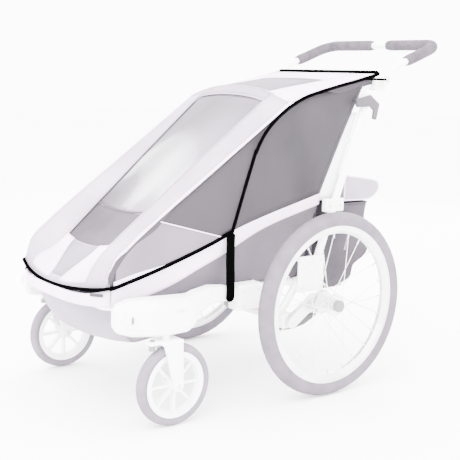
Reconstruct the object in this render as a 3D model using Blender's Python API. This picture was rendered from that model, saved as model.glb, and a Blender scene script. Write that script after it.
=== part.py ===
"""A child carrier in its stroller trim: two spoked rear wheels, two swivel casters, a folding tube
frame, a fabric cabin with a lift-up front cover, a rear bag and a tilting handlebar.

Metres, +Z up, front towards -Y, the rider's left at +X. Everything is laid out from the rear axle
line: y = 0 is the axle, z = 0 is the ground. The empty "trailer" then moves it all by AXLE_Y, so
that the world origin is the middle of the whole object's footprint.
"""

import math

import bmesh
import bpy
from mathutils import Matrix, Vector

# --- Driving dimensions -------------------------------------------------------------------------

AXLE_Y = 0.0866  # from the middle of the footprint back to the rear axle
GAP = 0.0005  # between parts that touch

# Rear wheels
TRACK_X = 0.313
WHEEL_R = 0.243
TYRE_W = 0.040
RIM_R = 0.206
RIM_DEPTH = 0.018
SPOKES = 24
FLANGE_R = 0.030
FLANGES_X = (0.284, 0.328)
HUB_ENDS_X = (0.270, 0.332)
AXLE_R = 0.006

# Casters
CASTER_X = 0.271
STEER_Y = -0.492
CASTER_AXLE_Y = -0.469
CASTER_R = 0.100
CASTER_TYRE_W = 0.030
CASTER_RIM_R = 0.078
CASTER_SPOKES = 8
KNOB_Y = -0.530

# Frame lanes: the tubes lie side by side, so that they fold past each other
TUBE_R = 0.011
RAIL_X = 0.190
RAIL_Z = 0.285
FRONT_TUBE_Y = -0.602
PANEL_X = (0.2014, 0.2042)
UPRIGHT_X = 0.215
UPRIGHT_R = 0.0105

# Pivots, as (y, z)
FRONT_PIVOT = (-0.585, 0.335)
TOP_PIVOT = (0.190, 0.770)
UPRIGHT_FOOT = (0.030, 0.335)
ARM_PIVOT = (-0.078, 0.190)
BAR_PIVOT = (0.250, 0.825)
COVER_HINGE = (-0.087, 0.801)
LID_HINGE = (0.160, 0.556)
PEDAL_X = 0.0

# Fabric
COVER_T = 0.004
WINDOW_U = 0.58  # the window's share of the cover's half width
WINDOW_V = (0.10, 0.94)  # and where it starts and ends between the hem and the roof
HEM_Y = -0.649
HEM_CORNER_Y = -0.617
HEM_Z = 0.3155
COVER_TOP_Y = -0.090
COVER_TOP_Z = 0.797
ROOF_Y = (-0.0845, 0.242)

STRAP_W = 0.026

# Handlebar
BAR_X = 0.225
BAR_R = 0.0095
GRIP_R = 0.0155
CROSSBAR = (0.466, 0.930)

PALE_FABRIC = ("pale_fabric", (0.84, 0.82, 0.85), 0.85, 0.0)
GREY_FABRIC = ("grey_fabric", (0.46, 0.44, 0.47), 0.90, 0.0)
DARK_MESH = ("dark_mesh", (0.30, 0.29, 0.33), 0.90, 0.0)
CLEAR_FILM = ("clear_film", (0.70, 0.71, 0.73), 0.15, 0.0)
BLACK_WEBBING = ("black_webbing", (0.01, 0.01, 0.01), 0.80, 0.0)
WHITE_TUBE = ("white_tube", (0.88, 0.88, 0.90), 0.35, 0.0)
WHITE_PLASTIC = ("white_plastic", (0.90, 0.90, 0.91), 0.45, 0.0)
GREY_PLASTIC = ("grey_plastic", (0.52, 0.52, 0.53), 0.50, 0.0)
BRIGHT_ALLOY = ("bright_alloy", (0.86, 0.86, 0.88), 0.30, 0.8)
GREY_RUBBER = ("grey_rubber", (0.45, 0.45, 0.47), 0.90, 0.0)
GREY_FOAM = ("grey_foam", (0.38, 0.37, 0.40), 0.95, 0.0)


# --- Tools ----------------------------------------------------------------------------------------


def remove_all():
    """Empty the scene that the script starts in."""
    for thing in list(bpy.data.objects):
        bpy.data.objects.remove(thing, do_unlink=True)


def material(look):
    """The material of one look, made the first time that it is asked for."""
    name, colour, roughness, metallic = look
    found = bpy.data.materials.get(name)
    if found:
        return found
    made = bpy.data.materials.new(name)
    made.use_nodes = True
    shader = made.node_tree.nodes["Principled BSDF"]
    shader.inputs["Base Color"].default_value = (*colour, 1.0)
    shader.inputs["Roughness"].default_value = roughness
    shader.inputs["Metallic"].default_value = metallic
    made.diffuse_color = (*colour, 1.0)
    return made


def solid(bm):
    """A new object from a bmesh, with its faces pointing out."""
    bmesh.ops.recalc_face_normals(bm, faces=bm.faces)
    mesh = bpy.data.meshes.new("solid")
    bm.to_mesh(mesh)
    bm.free()
    thing = bpy.data.objects.new("solid", mesh)
    bpy.context.scene.collection.objects.link(thing)
    return thing


def lofted(rings, closed=False):
    """A solid through rings of the same number of points: capped at its ends, or closed on itself."""
    bm = bmesh.new()
    loops = [[bm.verts.new(point) for point in ring] for ring in rings]
    pairs = list(zip(loops, loops[1:]))
    if closed:
        pairs.append((loops[-1], loops[0]))
    for low, high in pairs:
        for i in range(len(low)):
            j = (i + 1) % len(low)
            bm.faces.new((low[i], low[j], high[j], high[i]))
    if not closed:
        bm.faces.new(loops[0])
        bm.faces.new(reversed(loops[-1]))
    return solid(bm)


def prism(outline, start, end):
    """The outline, a list of points, carried from the offset start to the offset end."""
    return lofted([[Vector(p) + Vector(offset) for p in outline] for offset in (start, end)])


def prism_x(outline, x0, x1):
    """A (y, z) outline carried from x0 to x1."""
    return prism([(0, y, z) for y, z in outline], (x0, 0, 0), (x1, 0, 0))


def box(x, y, z):
    """A box from three (low, high) pairs."""
    outline = [(y[0], z[0]), (y[1], z[0]), (y[1], z[1]), (y[0], z[1])]
    return prism_x(outline, x[0], x[1])


def circle(centre, across, up, radius, sides):
    """Points on a circle in the plane of the directions across and up."""
    turns = (2 * math.pi * i / sides for i in range(sides))
    return [centre + radius * (math.cos(t) * across + math.sin(t) * up) for t in turns]


def swept(points, radius, sides=10):
    """A round bar through points, its section carried along without twisting."""
    points = [Vector(p) for p in points]
    steps = [(b - a).normalized() for a, b in zip(points, points[1:])]
    start = Vector((1, 0, 0)) if abs(steps[0].x) < 0.9 else Vector((0, 0, 1))
    across = (start - start.dot(steps[0]) * steps[0]).normalized()
    rings = []
    for i, point in enumerate(points):
        before = steps[max(i - 1, 0)]
        after = steps[min(i, len(steps) - 1)]
        along = (before + after).normalized()
        across = (across - across.dot(along) * along).normalized()
        stretch = 1 / max(before.dot(along), 0.5)
        up = along.cross(across)
        turn = after - before
        if turn.length > 1e-6:
            bend = turn.normalized()
            ring = [
                point + offset + (stretch - 1) * offset.dot(bend) * bend
                for offset in circle(Vector(), across, up, radius, sides)
            ]
        else:
            ring = circle(point, across, up, radius, sides)
        rings.append(ring)
    return lofted(rings)


def rounded(points, radius, steps=4):
    """The same path with each inner corner turned into an arc of the given radius."""
    points = [Vector(p) for p in points]
    path = [points[0]]
    for a, b, c in zip(points, points[1:], points[2:]):
        into = (a - b).normalized()
        out = (c - b).normalized()
        half = into.angle(out) / 2
        reach = radius / math.tan(half)
        reach = min(reach, 0.45 * (a - b).length, 0.45 * (c - b).length)
        centre = b + (into + out).normalized() * (reach / math.cos(half))
        first = b + into * reach - centre
        last = b + out * reach - centre
        for i in range(steps + 1):
            path.append(centre + first.length * first.slerp(last, i / steps))
    path.append(points[-1])
    return path


def turned(profile, x, y, z, segments):
    """A closed (radius, x) profile turned around an axis along X through (y, z)."""
    rings = []
    for i in range(segments):
        turn = 2 * math.pi * i / segments
        across = math.cos(turn)
        up = math.sin(turn)
        rings.append([(x + dx, y + r * across, z + r * up) for r, dx in profile])
    return lofted(rings, closed=True)


def drum(x0, x1, y, z, radius, sides=16):
    """A cylinder along X."""
    return swept([(x0, y, z), (x1, y, z)], radius, sides)


def combine(base, others, operation):
    """Union or cut the other solids into base, one by one, and remove them."""
    for other in others:
        step = base.modifiers.new("combine", "BOOLEAN")
        step.operation = operation
        step.solver = "EXACT"
        step.object = other
        graph = bpy.context.evaluated_depsgraph_get()
        mesh = bpy.data.meshes.new_from_object(base.evaluated_get(graph))
        base.modifiers.clear()
        base.data = mesh
        bpy.data.objects.remove(other, do_unlink=True)
    return base


def union(base, *others):
    return combine(base, others, "UNION")


def cut(base, *others):
    return combine(base, others, "DIFFERENCE")


def bevelled(thing, width, segments=2):
    """Rounds the solid's sharp edges."""
    step = thing.modifiers.new("bevel", "BEVEL")
    step.width = width
    step.segments = segments
    step.limit_method = "ANGLE"
    step.angle_limit = math.radians(35)
    graph = bpy.context.evaluated_depsgraph_get()
    mesh = bpy.data.meshes.new_from_object(thing.evaluated_get(graph))
    thing.modifiers.clear()
    thing.data = mesh
    return thing


class Joint:
    """An empty on a joint's axis, which carries the pieces that move with it."""

    def __init__(self, name, place, parent=None):
        self.place = Vector(place)
        self.empty = bpy.data.objects.new(name, None)
        bpy.context.scene.collection.objects.link(self.empty)
        if parent:
            self.empty.parent = parent.empty
            self.empty.location = self.place - parent.place
        else:
            self.empty.location = self.place + Vector((0, AXLE_Y, 0))

    def carry(self, thing, name, look):
        """Name a piece, give it its look and hang it on this joint."""
        thing.name = name
        thing.data.name = name
        thing.data.transform(Matrix.Translation(-self.place))
        thing.data.materials.clear()
        thing.data.materials.append(material(look))
        thing.data.shade_smooth()
        thing.data.set_sharp_from_angle(angle=math.radians(35))
        thing.parent = self.empty
        return thing


def other_side(thing):
    """A mirror copy of a solid across x = 0."""
    mesh = thing.data.copy()
    mesh.transform(Matrix.Scale(-1, 4, (1, 0, 0)))
    mesh.flip_normals()
    twin = bpy.data.objects.new("solid", mesh)
    bpy.context.scene.collection.objects.link(twin)
    return twin


def pair(thing, name, look, left, right):
    """Hang the solid on the left joint and its mirror copy on the right one."""
    twin = other_side(thing)
    left.carry(thing, f"{name}_left", look)
    right.carry(twin, f"{name}_right", look)


def along(points, at):
    """Height, or width, at a position on a polyline of (position, value) points."""
    for (a, low), (b, high) in zip(points, points[1:]):
        if at <= b:
            return low + (high - low) * (at - a) / (b - a)
    return points[-1][1]


# --- Wheels ---------------------------------------------------------------------------------------


def tyre(x, y, z, radius, width, inner, segments):
    """A tyre: a rounded tread over two straight beads."""
    middle = (radius + inner) / 2
    half = width / 2
    steps = 4
    profile = [(inner, half * 0.62)]
    for i in range(steps + 1):
        turn = math.pi * i / steps
        profile.append((middle + (radius - middle) * math.sin(turn), half * math.cos(turn)))
    profile.append((inner, -half * 0.62))
    return turned(profile, x, y, z, segments)


def rim(x, y, z, radius, depth, width, segments):
    """A rim: wide at the tyre, narrower towards the spokes."""
    half = width / 2
    profile = [
        (radius, half),
        (radius, -half),
        (radius - 0.6 * depth, -half),
        (radius - depth, -0.35 * half),
        (radius - depth, 0.35 * half),
        (radius - 0.6 * depth, half),
    ]
    return turned(profile, x, y, z, segments)


def spoke(flange_x, turn, lean):
    """One wire to the rim from the side of its flange that clears the wires leaning the other way."""
    hub_turn = turn + lean
    hub_x = flange_x + math.copysign(0.0018, lean)
    root = FLANGE_R - 0.004
    tip = RIM_R - RIM_DEPTH - GAP
    tip_x = TRACK_X + 0.1 * (flange_x - TRACK_X)
    centre = Vector((0, 0, WHEEL_R))
    inner = centre + Vector((hub_x, root * math.cos(hub_turn), root * math.sin(hub_turn)))
    outer = centre + Vector((tip_x, tip * math.cos(turn), tip * math.sin(turn)))
    return swept([inner, outer], 0.0011, 4)


def rear_hub():
    """The turned hub with its two flanges, its brake ring and every spoke laced to it."""
    hub = drum(*HUB_ENDS_X, 0, WHEEL_R, 0.016, 20)
    discs = [drum(x - 0.002, x + 0.002, 0, WHEEL_R, FLANGE_R, 24) for x in FLANGES_X]
    ring_x = (HUB_ENDS_X[0], HUB_ENDS_X[0] + 0.009)
    brake_ring = drum(*ring_x, 0, WHEEL_R, FLANGE_R + 0.001, 24)
    hub = union(hub, *discs, brake_ring)
    holes = []
    for i in range(12):
        turn = 2 * math.pi * i / 12
        y = 0.0235 * math.cos(turn)
        z = WHEEL_R + 0.0235 * math.sin(turn)
        holes.append(drum(ring_x[0] - 0.002, ring_x[1] - 0.003, y, z, 0.0032, 6))
    hub = cut(hub, *holes)
    spokes = []
    for i in range(SPOKES):
        lean = math.radians(62) if (i // 2) % 2 else math.radians(-62)
        spokes.append(spoke(FLANGES_X[i % 2], 2 * math.pi * i / SPOKES, lean))
    hub = union(hub, *spokes)
    return cut(hub, drum(0.26, 0.34, 0, WHEEL_R, AXLE_R + GAP, 12))


def axle_button():
    """The round push button on the end of the quick-release axle."""
    x = HUB_ENDS_X[1] + 0.0045
    head = bevelled(drum(x, x + 0.010, 0, WHEEL_R, 0.0155, 20), 0.002)
    return union(head, drum(0.3235, x + 0.001, 0, WHEEL_R, AXLE_R - GAP, 10))


def caster_wheel():
    """A moulded wheel: rim, hub and flat spokes in one piece."""
    place = (CASTER_AXLE_Y, CASTER_R)
    wheel = turned(
        [
            (CASTER_RIM_R, 0.012),
            (CASTER_RIM_R, -0.012),
            (CASTER_RIM_R - 0.010, -0.012),
            (CASTER_RIM_R - 0.014, 0.0),
            (CASTER_RIM_R - 0.010, 0.012),
        ],
        CASTER_X,
        *place,
        32,
    )
    hub = drum(CASTER_X - 0.0175, CASTER_X + 0.0175, *place, 0.015, 16)
    blades = []
    for i in range(CASTER_SPOKES):
        blade = box(
            (CASTER_X - 0.007, CASTER_X + 0.007),
            (CASTER_AXLE_Y - 0.003, CASTER_AXLE_Y + 0.003),
            (CASTER_R + 0.008, CASTER_R + CASTER_RIM_R - 0.009),
        )
        pivot = Matrix.Translation((0, CASTER_AXLE_Y, CASTER_R))
        turn = Matrix.Rotation(2 * math.pi * i / CASTER_SPOKES, 4, "X")
        blade.data.transform(pivot @ turn @ pivot.inverted())
        blades.append(blade)
    wheel = union(hub, *blades, wheel)
    return cut(wheel, drum(CASTER_X - 0.02, CASTER_X + 0.02, *place, 0.0046, 10))


def caster_fork():
    """Two legs under a crown, with the steering stem above and the wheel's pin between."""
    crown = box((CASTER_X - 0.0275, CASTER_X + 0.0275), (-0.516, -0.458), (0.2035, 0.213))
    nose = box((CASTER_X - 0.010, CASTER_X + 0.010), (KNOB_Y - 0.010, -0.500), (0.2040, 0.2125))
    crown = union(bevelled(crown, 0.003), nose)
    foot = [
        (CASTER_AXLE_Y + 0.013 * math.cos(t), CASTER_R + 0.013 * math.sin(t))
        for t in (math.radians(-150 + 30 * i) for i in range(6))
    ]
    outline = [(-0.460, 0.210), (-0.512, 0.210), (-0.500, 0.170)] + foot
    legs = [
        prism_x(outline, x, x + 0.007) for x in (CASTER_X + 0.0185, CASTER_X - 0.0255)
    ]
    pin = drum(CASTER_X - 0.021, CASTER_X + 0.021, CASTER_AXLE_Y, CASTER_R, 0.004, 10)
    stem = swept([(CASTER_X, STEER_Y, 0.2100), (CASTER_X, STEER_Y, 0.2900)], 0.009, 16)
    knob_hole = swept([(CASTER_X, KNOB_Y, 0.195), (CASTER_X, KNOB_Y, 0.220)], 0.0060, 12)
    return cut(union(crown, *legs, stem, pin), knob_hole)


def caster_lock():
    """The sprung knob under the crown's nose, pulled down to let the fork turn."""
    knob = swept([(CASTER_X, KNOB_Y, 0.1900), (CASTER_X, KNOB_Y, 0.2030)], 0.0080, 12)
    return union(knob, swept([(CASTER_X, KNOB_Y, 0.2000), (CASTER_X, KNOB_Y, 0.2160)], 0.0054, 12))


# --- Lower frame ----------------------------------------------------------------------------------


def side_rail():
    """The lower side tube, curved in at the front, with the fork that holds the canopy's foot."""
    path = [(0.130, FRONT_TUBE_Y, RAIL_Z), (RAIL_X, FRONT_TUBE_Y, RAIL_Z), (RAIL_X, -0.0325, RAIL_Z)]
    rail = swept(rounded(path, 0.058), TUBE_R)
    y, z = FRONT_PIVOT
    cheek = [(y - 0.013, RAIL_Z), (y + 0.013, RAIL_Z), (y + 0.013, z)]
    cheek += [
        (y + 0.013 * math.cos(t), z + 0.013 * math.sin(t))
        for t in (math.radians(30 * i) for i in range(1, 6))
    ]
    cheek.append((y - 0.013, z))
    cheeks = [prism_x(cheek, x0, x1) for x0, x1 in ((0.1795, 0.1825), (0.1975, 0.2000))]
    base = box((0.1750, 0.1985), (y - 0.010, y + 0.012), (0.278, 0.308))
    return union(rail, base, *cheeks)


def rear_leg():
    """The welded leg behind the rail: socket, leg, latch plate and suspension fitting."""
    socket = box((0.178, 0.203), (-0.0320, 0.008), (0.268, 0.2975))
    leg = swept([(0.191, -0.010, 0.282), (0.191, -0.075, 0.196)], TUBE_R)
    fitting = box((0.185, 0.2375), (-0.098, -0.058), (0.171, 0.209))
    plate = box((0.2275, 0.2355), (-0.048, 0.042), (0.262, 0.358))
    web = box((0.195, 0.2345), (-0.030, 0.000), (0.262, 0.282))
    leg = union(bevelled(socket, 0.003), leg, bevelled(fitting, 0.004), web)
    return union(leg, bevelled(plate, 0.003))


def arm_section(y, x, z, half_x, half_z):
    """A rounded-rectangle ring across the caster arm."""
    ring = []
    for i in range(12):
        t = 2 * math.pi * (i + 0.5) / 12
        c, s = math.cos(t), math.sin(t)
        dx = half_x * math.copysign(abs(c) ** 0.5, c)
        dz = half_z * math.copysign(abs(s) ** 0.5, s)
        ring.append((x + dx, y, z + dz))
    return ring


def caster_arm():
    """The moulded arm over a caster: deep around the steering stem, then arched back to its clamp."""
    arm = lofted(
        [
            arm_section(-0.607, 0.2240, 0.266, 0.008, 0.022),
            arm_section(-0.598, 0.2290, 0.266, 0.017, 0.035),
            arm_section(-0.575, 0.2380, 0.267, 0.025, 0.043),
            arm_section(-0.530, 0.2520, 0.267, 0.033, 0.0445),
            arm_section(-0.490, 0.2620, 0.267, 0.036, 0.0445),
            arm_section(-0.440, 0.2600, 0.266, 0.035, 0.0430),
            arm_section(-0.418, 0.2560, 0.270, 0.031, 0.0380),
            arm_section(-0.398, 0.2510, 0.284, 0.026, 0.0290),
            arm_section(-0.350, 0.2420, 0.296, 0.020, 0.0225),
            arm_section(-0.300, 0.2350, 0.293, 0.017, 0.0200),
            arm_section(-0.2625, 0.2320, 0.285, 0.015, 0.0170),
        ]
    )
    peg = box((0.2013, 0.236), (-0.560, -0.536), (0.272, 0.296))
    bore = swept([(CASTER_X, STEER_Y, 0.150), (CASTER_X, STEER_Y, 0.296)], 0.0096, 16)
    return cut(union(arm, peg), bore)


def arm_clamp():
    """The block that holds the caster arm's rear end to the rail."""
    block = bevelled(box((0.2075, 0.2485), (-0.2620, -0.180), (0.243, 0.308)), 0.005)
    peg = box((0.2013, 0.212), (-0.232, -0.205), (0.272, 0.296))
    return union(block, peg)


def swing_arm():
    """The suspension arm from its pivot to the wheel's axle, with the foot the leaf spring bears on."""
    y, z = ARM_PIVOT
    length = math.hypot(y, WHEEL_R - z)
    tilt = math.atan2(WHEEL_R - z, -y)
    outline = []
    for middle, start in ((length, -90), (0.0, 90)):
        for i in range(7):
            t = math.radians(start + 30 * i)
            outline.append((middle + 0.016 * math.cos(t), 0.016 * math.sin(t)))
    turn = [
        (y + a * math.cos(tilt) - b * math.sin(tilt), z + a * math.sin(tilt) + b * math.cos(tilt))
        for a, b in outline
    ]
    arm = prism_x(turn, 0.2385, 0.2525)
    boss = drum(0.2500, 0.2660, 0, WHEEL_R, 0.0150, 16)
    pin = drum(0.2640, 0.3180, 0, WHEEL_R, AXLE_R, 12)
    foot = box((0.2080, 0.2500), (0.006, 0.024), (0.2020, 0.2380))
    return union(arm, boss, foot, pin)


def leaf_spring():
    """A bowed strip under the arm, clamped at its front end."""
    middle = [(-0.100, 0.1680), (-0.060, 0.1680), (-0.020, 0.1740), (0.012, 0.1880), (0.028, 0.1980)]
    half = 0.0015
    outline = [(y, z - half) for y, z in middle] + [(y, z + half) for y, z in reversed(middle)]
    return prism_x(outline, 0.209, 0.233)


def brake_pedal():
    """The parking brake's foot lever, a sleeve that turns on the axle tube."""
    y, z = ARM_PIVOT
    sleeve = drum(PEDAL_X - 0.022, PEDAL_X + 0.022, y, z, 0.0175, 16)
    paddle = box((PEDAL_X - 0.020, PEDAL_X + 0.020), (y + 0.010, y + 0.085), (z - 0.004, z + 0.004))
    paddle = bevelled(paddle, 0.002)
    bore = drum(PEDAL_X - 0.03, PEDAL_X + 0.03, y, z, 0.0125, 16)
    return cut(union(sleeve, paddle), bore)


# --- Upper frame ----------------------------------------------------------------------------------


def canopy_tube():
    """One bent tube: up from the front pivot, along the windscreen's edge and back under the roof."""
    path = [(-0.585, 0.335), (-0.572, 0.372), (-0.500, 0.441), (-0.115, 0.708), (-0.020, 0.762)]
    path = [(RAIL_X, y, z) for y, z in path + [(0.2220, 0.811)]]
    tube = swept(rounded(path, 0.05, 3), TUBE_R)
    clear = [
        box((0.15, 0.1835), (-0.62, -0.562), (0.30, 0.362)),
        box((0.1965, 0.23), (-0.62, -0.562), (0.30, 0.362)),
    ]
    tube = cut(tube, *clear)
    eye = drum(0.1832, 0.1968, *FRONT_PIVOT, 0.0125)
    y, z = TOP_PIVOT
    lug = bevelled(box((0.1840, 0.2038), (y - 0.017, y + 0.017), (z - 0.016, z + 0.032)), 0.004)
    return union(tube, eye, lug)


def bar_knuckle():
    """The moulded knuckle at the canopy's rear corner, where the handlebar pivots."""
    block = box((0.1850, 0.2148), (0.2250, 0.2680), (0.7960, 0.8320))
    return bevelled(block, 0.006)


def roof_bow():
    """The thin bow under the front of the roof."""
    return swept([(-0.1785, -0.062, 0.7560), (0.1785, -0.062, 0.7560)], 0.007, 8)


def upright():
    """The rear strut: an eye at the top pivot, a tube down to the latch plate, and the belt's bracket."""
    top = (UPRIGHT_X, *TOP_PIVOT)
    foot = (UPRIGHT_X, *UPRIGHT_FOOT)
    tube = swept([top, foot], UPRIGHT_R)
    eye = drum(UPRIGHT_X - UPRIGHT_R, UPRIGHT_X + UPRIGHT_R, *TOP_PIVOT, 0.018)
    bracket = bevelled(box((0.2070, 0.2230), (0.050, 0.118), (0.470, 0.505)), 0.003)
    return union(tube, eye, bracket)


def back_frame_point(down, out):
    """(y, z) at a distance down the uprights from the top pivot, and out in front of them."""
    line = Vector(UPRIGHT_FOOT) - Vector(TOP_PIVOT)
    line.normalize()
    front = Vector((line.y, -line.x))
    return Vector(TOP_PIVOT) + down * line + out * front


def slab_on_back(x0, x1, down, out):
    """A slab between two depths down the uprights and two distances in front of them."""
    corners = ((down[0], out[0]), (down[1], out[0]), (down[1], out[1]), (down[0], out[1]))
    return prism_x([back_frame_point(*corner) for corner in corners], x0, x1)


def latch_lever():
    """The grey lever over the top pivot that frees the uprights, hooked down at its rear."""
    outline = [
        (0.135, 0.772),
        (0.190, 0.784),
        (0.226, 0.760),
        (0.216, 0.716),
        (0.202, 0.719),
        (0.204, 0.742),
        (0.190, 0.752),
        (0.140, 0.750),
    ]
    return bevelled(prism_x(outline, 0.2262, 0.2338), 0.002)


# --- Fabric ---------------------------------------------------------------------------------------

# Outlines of the fabric, as (y, half width or height)
COVER_HALF_WIDTH = [(-0.617, 0.205), (-0.500, 0.207), (-0.300, 0.211), (-0.080, 0.217)]
COVER_EDGE_Z = [(-0.617, 0.333), (-0.605, 0.376), (-0.560, 0.423), (-0.500, 0.470)]
COVER_EDGE_Z += [(-0.320, 0.597), (-0.080, 0.766)]
ROOF_HALF_WIDTH = [(-0.085, 0.217), (0.060, 0.208), (0.242, 0.204)]
ROOF_EDGE_Z = [(-0.085, 0.763), (-0.036, 0.779), (0.057, 0.801), (0.154, 0.823), (0.242, 0.842)]
ROOF_MIDDLE_Z = [(-0.085, 0.799), (0.050, 0.815), (0.150, 0.828), (0.242, 0.842)]
BELT_TOP = [(-0.598, 0.331), (-0.468, 0.365), (-0.317, 0.413), (-0.236, 0.444), (0.042, 0.519)]


def cover_point(u, v):
    """The front cover's outer face: u from -1 to 1 across, v from 0 at the hem to 1 at the roof."""
    middle_y = HEM_Y + (COVER_TOP_Y - HEM_Y) * v
    edge_y = HEM_CORNER_Y + (COVER_TOP_Y - HEM_CORNER_Y) * v
    middle_z = HEM_Z + (COVER_TOP_Z - HEM_Z) * v
    edge_z = along(COVER_EDGE_Z, edge_y)
    share = u * u
    y = middle_y + (edge_y - middle_y) * share
    z = middle_z + (edge_z - middle_z) * share
    return Vector((u * along(COVER_HALF_WIDTH, edge_y), y, z))


def roof_point(u, v):
    """The roof's outer face: u across, v from 0 at the front to 1 at the rear."""
    y = ROOF_Y[0] + (ROOF_Y[1] - ROOF_Y[0]) * v
    z = along(ROOF_MIDDLE_Z, y) + (along(ROOF_EDGE_Z, y) - along(ROOF_MIDDLE_Z, y)) * u * u
    return Vector((u * along(ROOF_HALF_WIDTH, y), y, z))


def sheet(surface, columns, rows, thickness, hole=None):
    """A thin panel over a surface, with an opening over the cells that hole picks out."""
    bm = bmesh.new()
    grid = [[bm.verts.new(surface(u, v)) for u in columns] for v in rows]
    for j in range(len(rows) - 1):
        for i in range(len(columns) - 1):
            u = (columns[i] + columns[i + 1]) / 2
            v = (rows[j] + rows[j + 1]) / 2
            if hole and hole(u, v):
                continue
            bm.faces.new((grid[j][i], grid[j][i + 1], grid[j + 1][i + 1], grid[j + 1][i]))
    bmesh.ops.delete(bm, geom=[v for v in bm.verts if not v.link_faces], context="VERTS")
    mesh = bpy.data.meshes.new("solid")
    bm.to_mesh(mesh)
    bm.free()
    thing = bpy.data.objects.new("solid", mesh)
    bpy.context.scene.collection.objects.link(thing)
    step = thing.modifiers.new("thickness", "SOLIDIFY")
    step.thickness = thickness
    step.offset = -1
    graph = bpy.context.evaluated_depsgraph_get()
    mesh = bpy.data.meshes.new_from_object(thing.evaluated_get(graph))
    thing.modifiers.clear()
    thing.data = mesh
    return thing


def spread(low, high, count):
    """Evenly spaced values, both ends among them."""
    return [low + (high - low) * i / (count - 1) for i in range(count)]


def front_cover():
    """The cover's fabric: wide borders, an apron at the hem and a band under the roof."""
    columns = [-1, -0.79, -WINDOW_U] + spread(-0.3, 0.3, 3) + [WINDOW_U, 0.79, 1]
    rows = [0, 0.05] + spread(*WINDOW_V, 10) + [1]

    def window(u, v):
        return abs(u) < WINDOW_U and WINDOW_V[0] < v < WINDOW_V[1]

    return sheet(cover_point, columns, rows, COVER_T, window)


def front_window():
    """The clear window set into the cover."""
    columns = spread(-WINDOW_U + 0.004, WINDOW_U - 0.004, 5)
    rows = spread(WINDOW_V[0] + 0.002, WINDOW_V[1] - 0.002, 8)
    return sheet(cover_point, columns, rows, 0.002)


def roof_panel():
    """The roof's fabric, crowned a little across the cabin."""
    return sheet(roof_point, spread(-1, 1, 7), spread(0, 1, 8), COVER_T)


def lower_side():
    """The grey fabric between the rail and the belt line."""
    outline = [(-0.592, 0.2985), (-0.025, 0.2985), (0.012, 0.400)]
    outline += [(y, z - GAP) for y, z in reversed(BELT_TOP)]
    return prism_x(outline, *PANEL_X)


def side_window():
    """The dark mesh and film between the belt line, the cover's edge and the uprights."""
    outline = [(y, z + GAP) for y, z in BELT_TOP]
    outline += [(0.153, 0.731), (0.1685, 0.760), (0.1705, 0.800), (0.057, 0.788), (-0.036, 0.766)]
    outline += [(-0.110, 0.730), (-0.320, 0.584), (-0.500, 0.458), (-0.560, 0.410), (-0.597, 0.366)]
    return prism_x(outline, *PANEL_X)


def nose_band():
    """The band around the nose under the hem, outside the tube's front corners."""
    rings = []
    for x in spread(-0.2005, 0.2005, 13):
        y = -0.6545 + 0.052 * (x / 0.203) ** 4
        rings.append([(x, y, 0.284), (x, y + 0.004, 0.284), (x, y + 0.004, 0.312), (x, y, 0.312)])
    return lofted(rings)


def floor_tub():
    """The fabric footwell: rounded up at the front to the hem, open at the top and rear."""
    outer = [(-0.355, 0.270), (-0.355, 0.212), (-0.420, 0.190), (-0.550, 0.178), (-0.595, 0.196)]
    outer += [(-0.634, 0.245), (-0.6545, 0.285), (-0.6545, 0.306), (-0.6485, 0.306), (-0.640, 0.270)]
    inner = [(-0.361, 0.320), (-0.361, 0.2175), (-0.421, 0.1960), (-0.549, 0.1840), (-0.591, 0.2005)]
    inner += [(-0.629, 0.248), (-0.6485, 0.286), (-0.6485, 0.320)]
    return union(cut(prism_x(outer, -0.171, 0.171), prism_x(inner, -0.165, 0.165)), nose_band())


def seat_pad():
    """The padded seat, hung between the side rails."""
    return bevelled(box((-0.170, 0.170), (-0.345, -0.045), (0.262, 0.290)), 0.010)


def backrest_pad():
    """The padded back in front of the uprights."""
    return bevelled(slab_on_back(-0.165, 0.165, (0.055, 0.450), (0.0095, 0.0325)), 0.008)


def harness():
    """Two shoulder straps that meet at a buckle and a crotch strap below it."""
    out = (0.0330, 0.0358)
    straps = [slab_on_back(x - 0.014, x + 0.014, (0.075, 0.300), out) for x in (-0.055, 0.055)]
    buckle = slab_on_back(-0.070, 0.070, (0.290, 0.330), (0.0330, 0.0390))
    crotch = slab_on_back(-0.014, 0.014, (0.325, 0.405), out)
    return union(buckle, *straps, crotch)


def side_strap():
    """The black webbing strap from the belt line, out, forward and down over the caster arm."""
    face = [(0.2062, -0.260, 0.4300), (0.2565, -0.2935, 0.3180), (0.2565, -0.294, 0.2770)]
    outline = face + [(x + 0.0025, y, z) for x, y, z in reversed(face)]
    return prism(outline, (0, -STRAP_W / 2, 0), (0, STRAP_W / 2, 0))


def cargo_bag():
    """The fabric bag behind the backrest, open at the top under its lid."""
    outer = [(0.140, 0.480), (0.268, 0.480), (0.262, 0.430), (0.285, 0.330), (0.262, 0.300)]
    outer += [(0.226, 0.250), (0.205, 0.235), (0.062, 0.235), (0.042, 0.258)]
    inner = [(0.1555, 0.500), (0.2625, 0.500), (0.256, 0.430), (0.2785, 0.332), (0.257, 0.3045)]
    inner += [(0.2225, 0.2545), (0.202, 0.241), (0.066, 0.241), (0.049, 0.261)]
    return cut(prism_x(outer, -0.176, 0.176), prism_x(inner, -0.170, 0.170))


def bag_lid():
    """The padded lid over the bag."""
    outline = [(0.161, 0.486), (0.275, 0.486), (0.307, 0.508), (0.309, 0.533)]
    outline += [(0.293, 0.545), (0.177, 0.562), (0.161, 0.556)]
    return bevelled(prism_x(outline, -0.176, 0.176), 0.004)


# --- Handlebar ------------------------------------------------------------------------------------


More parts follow.
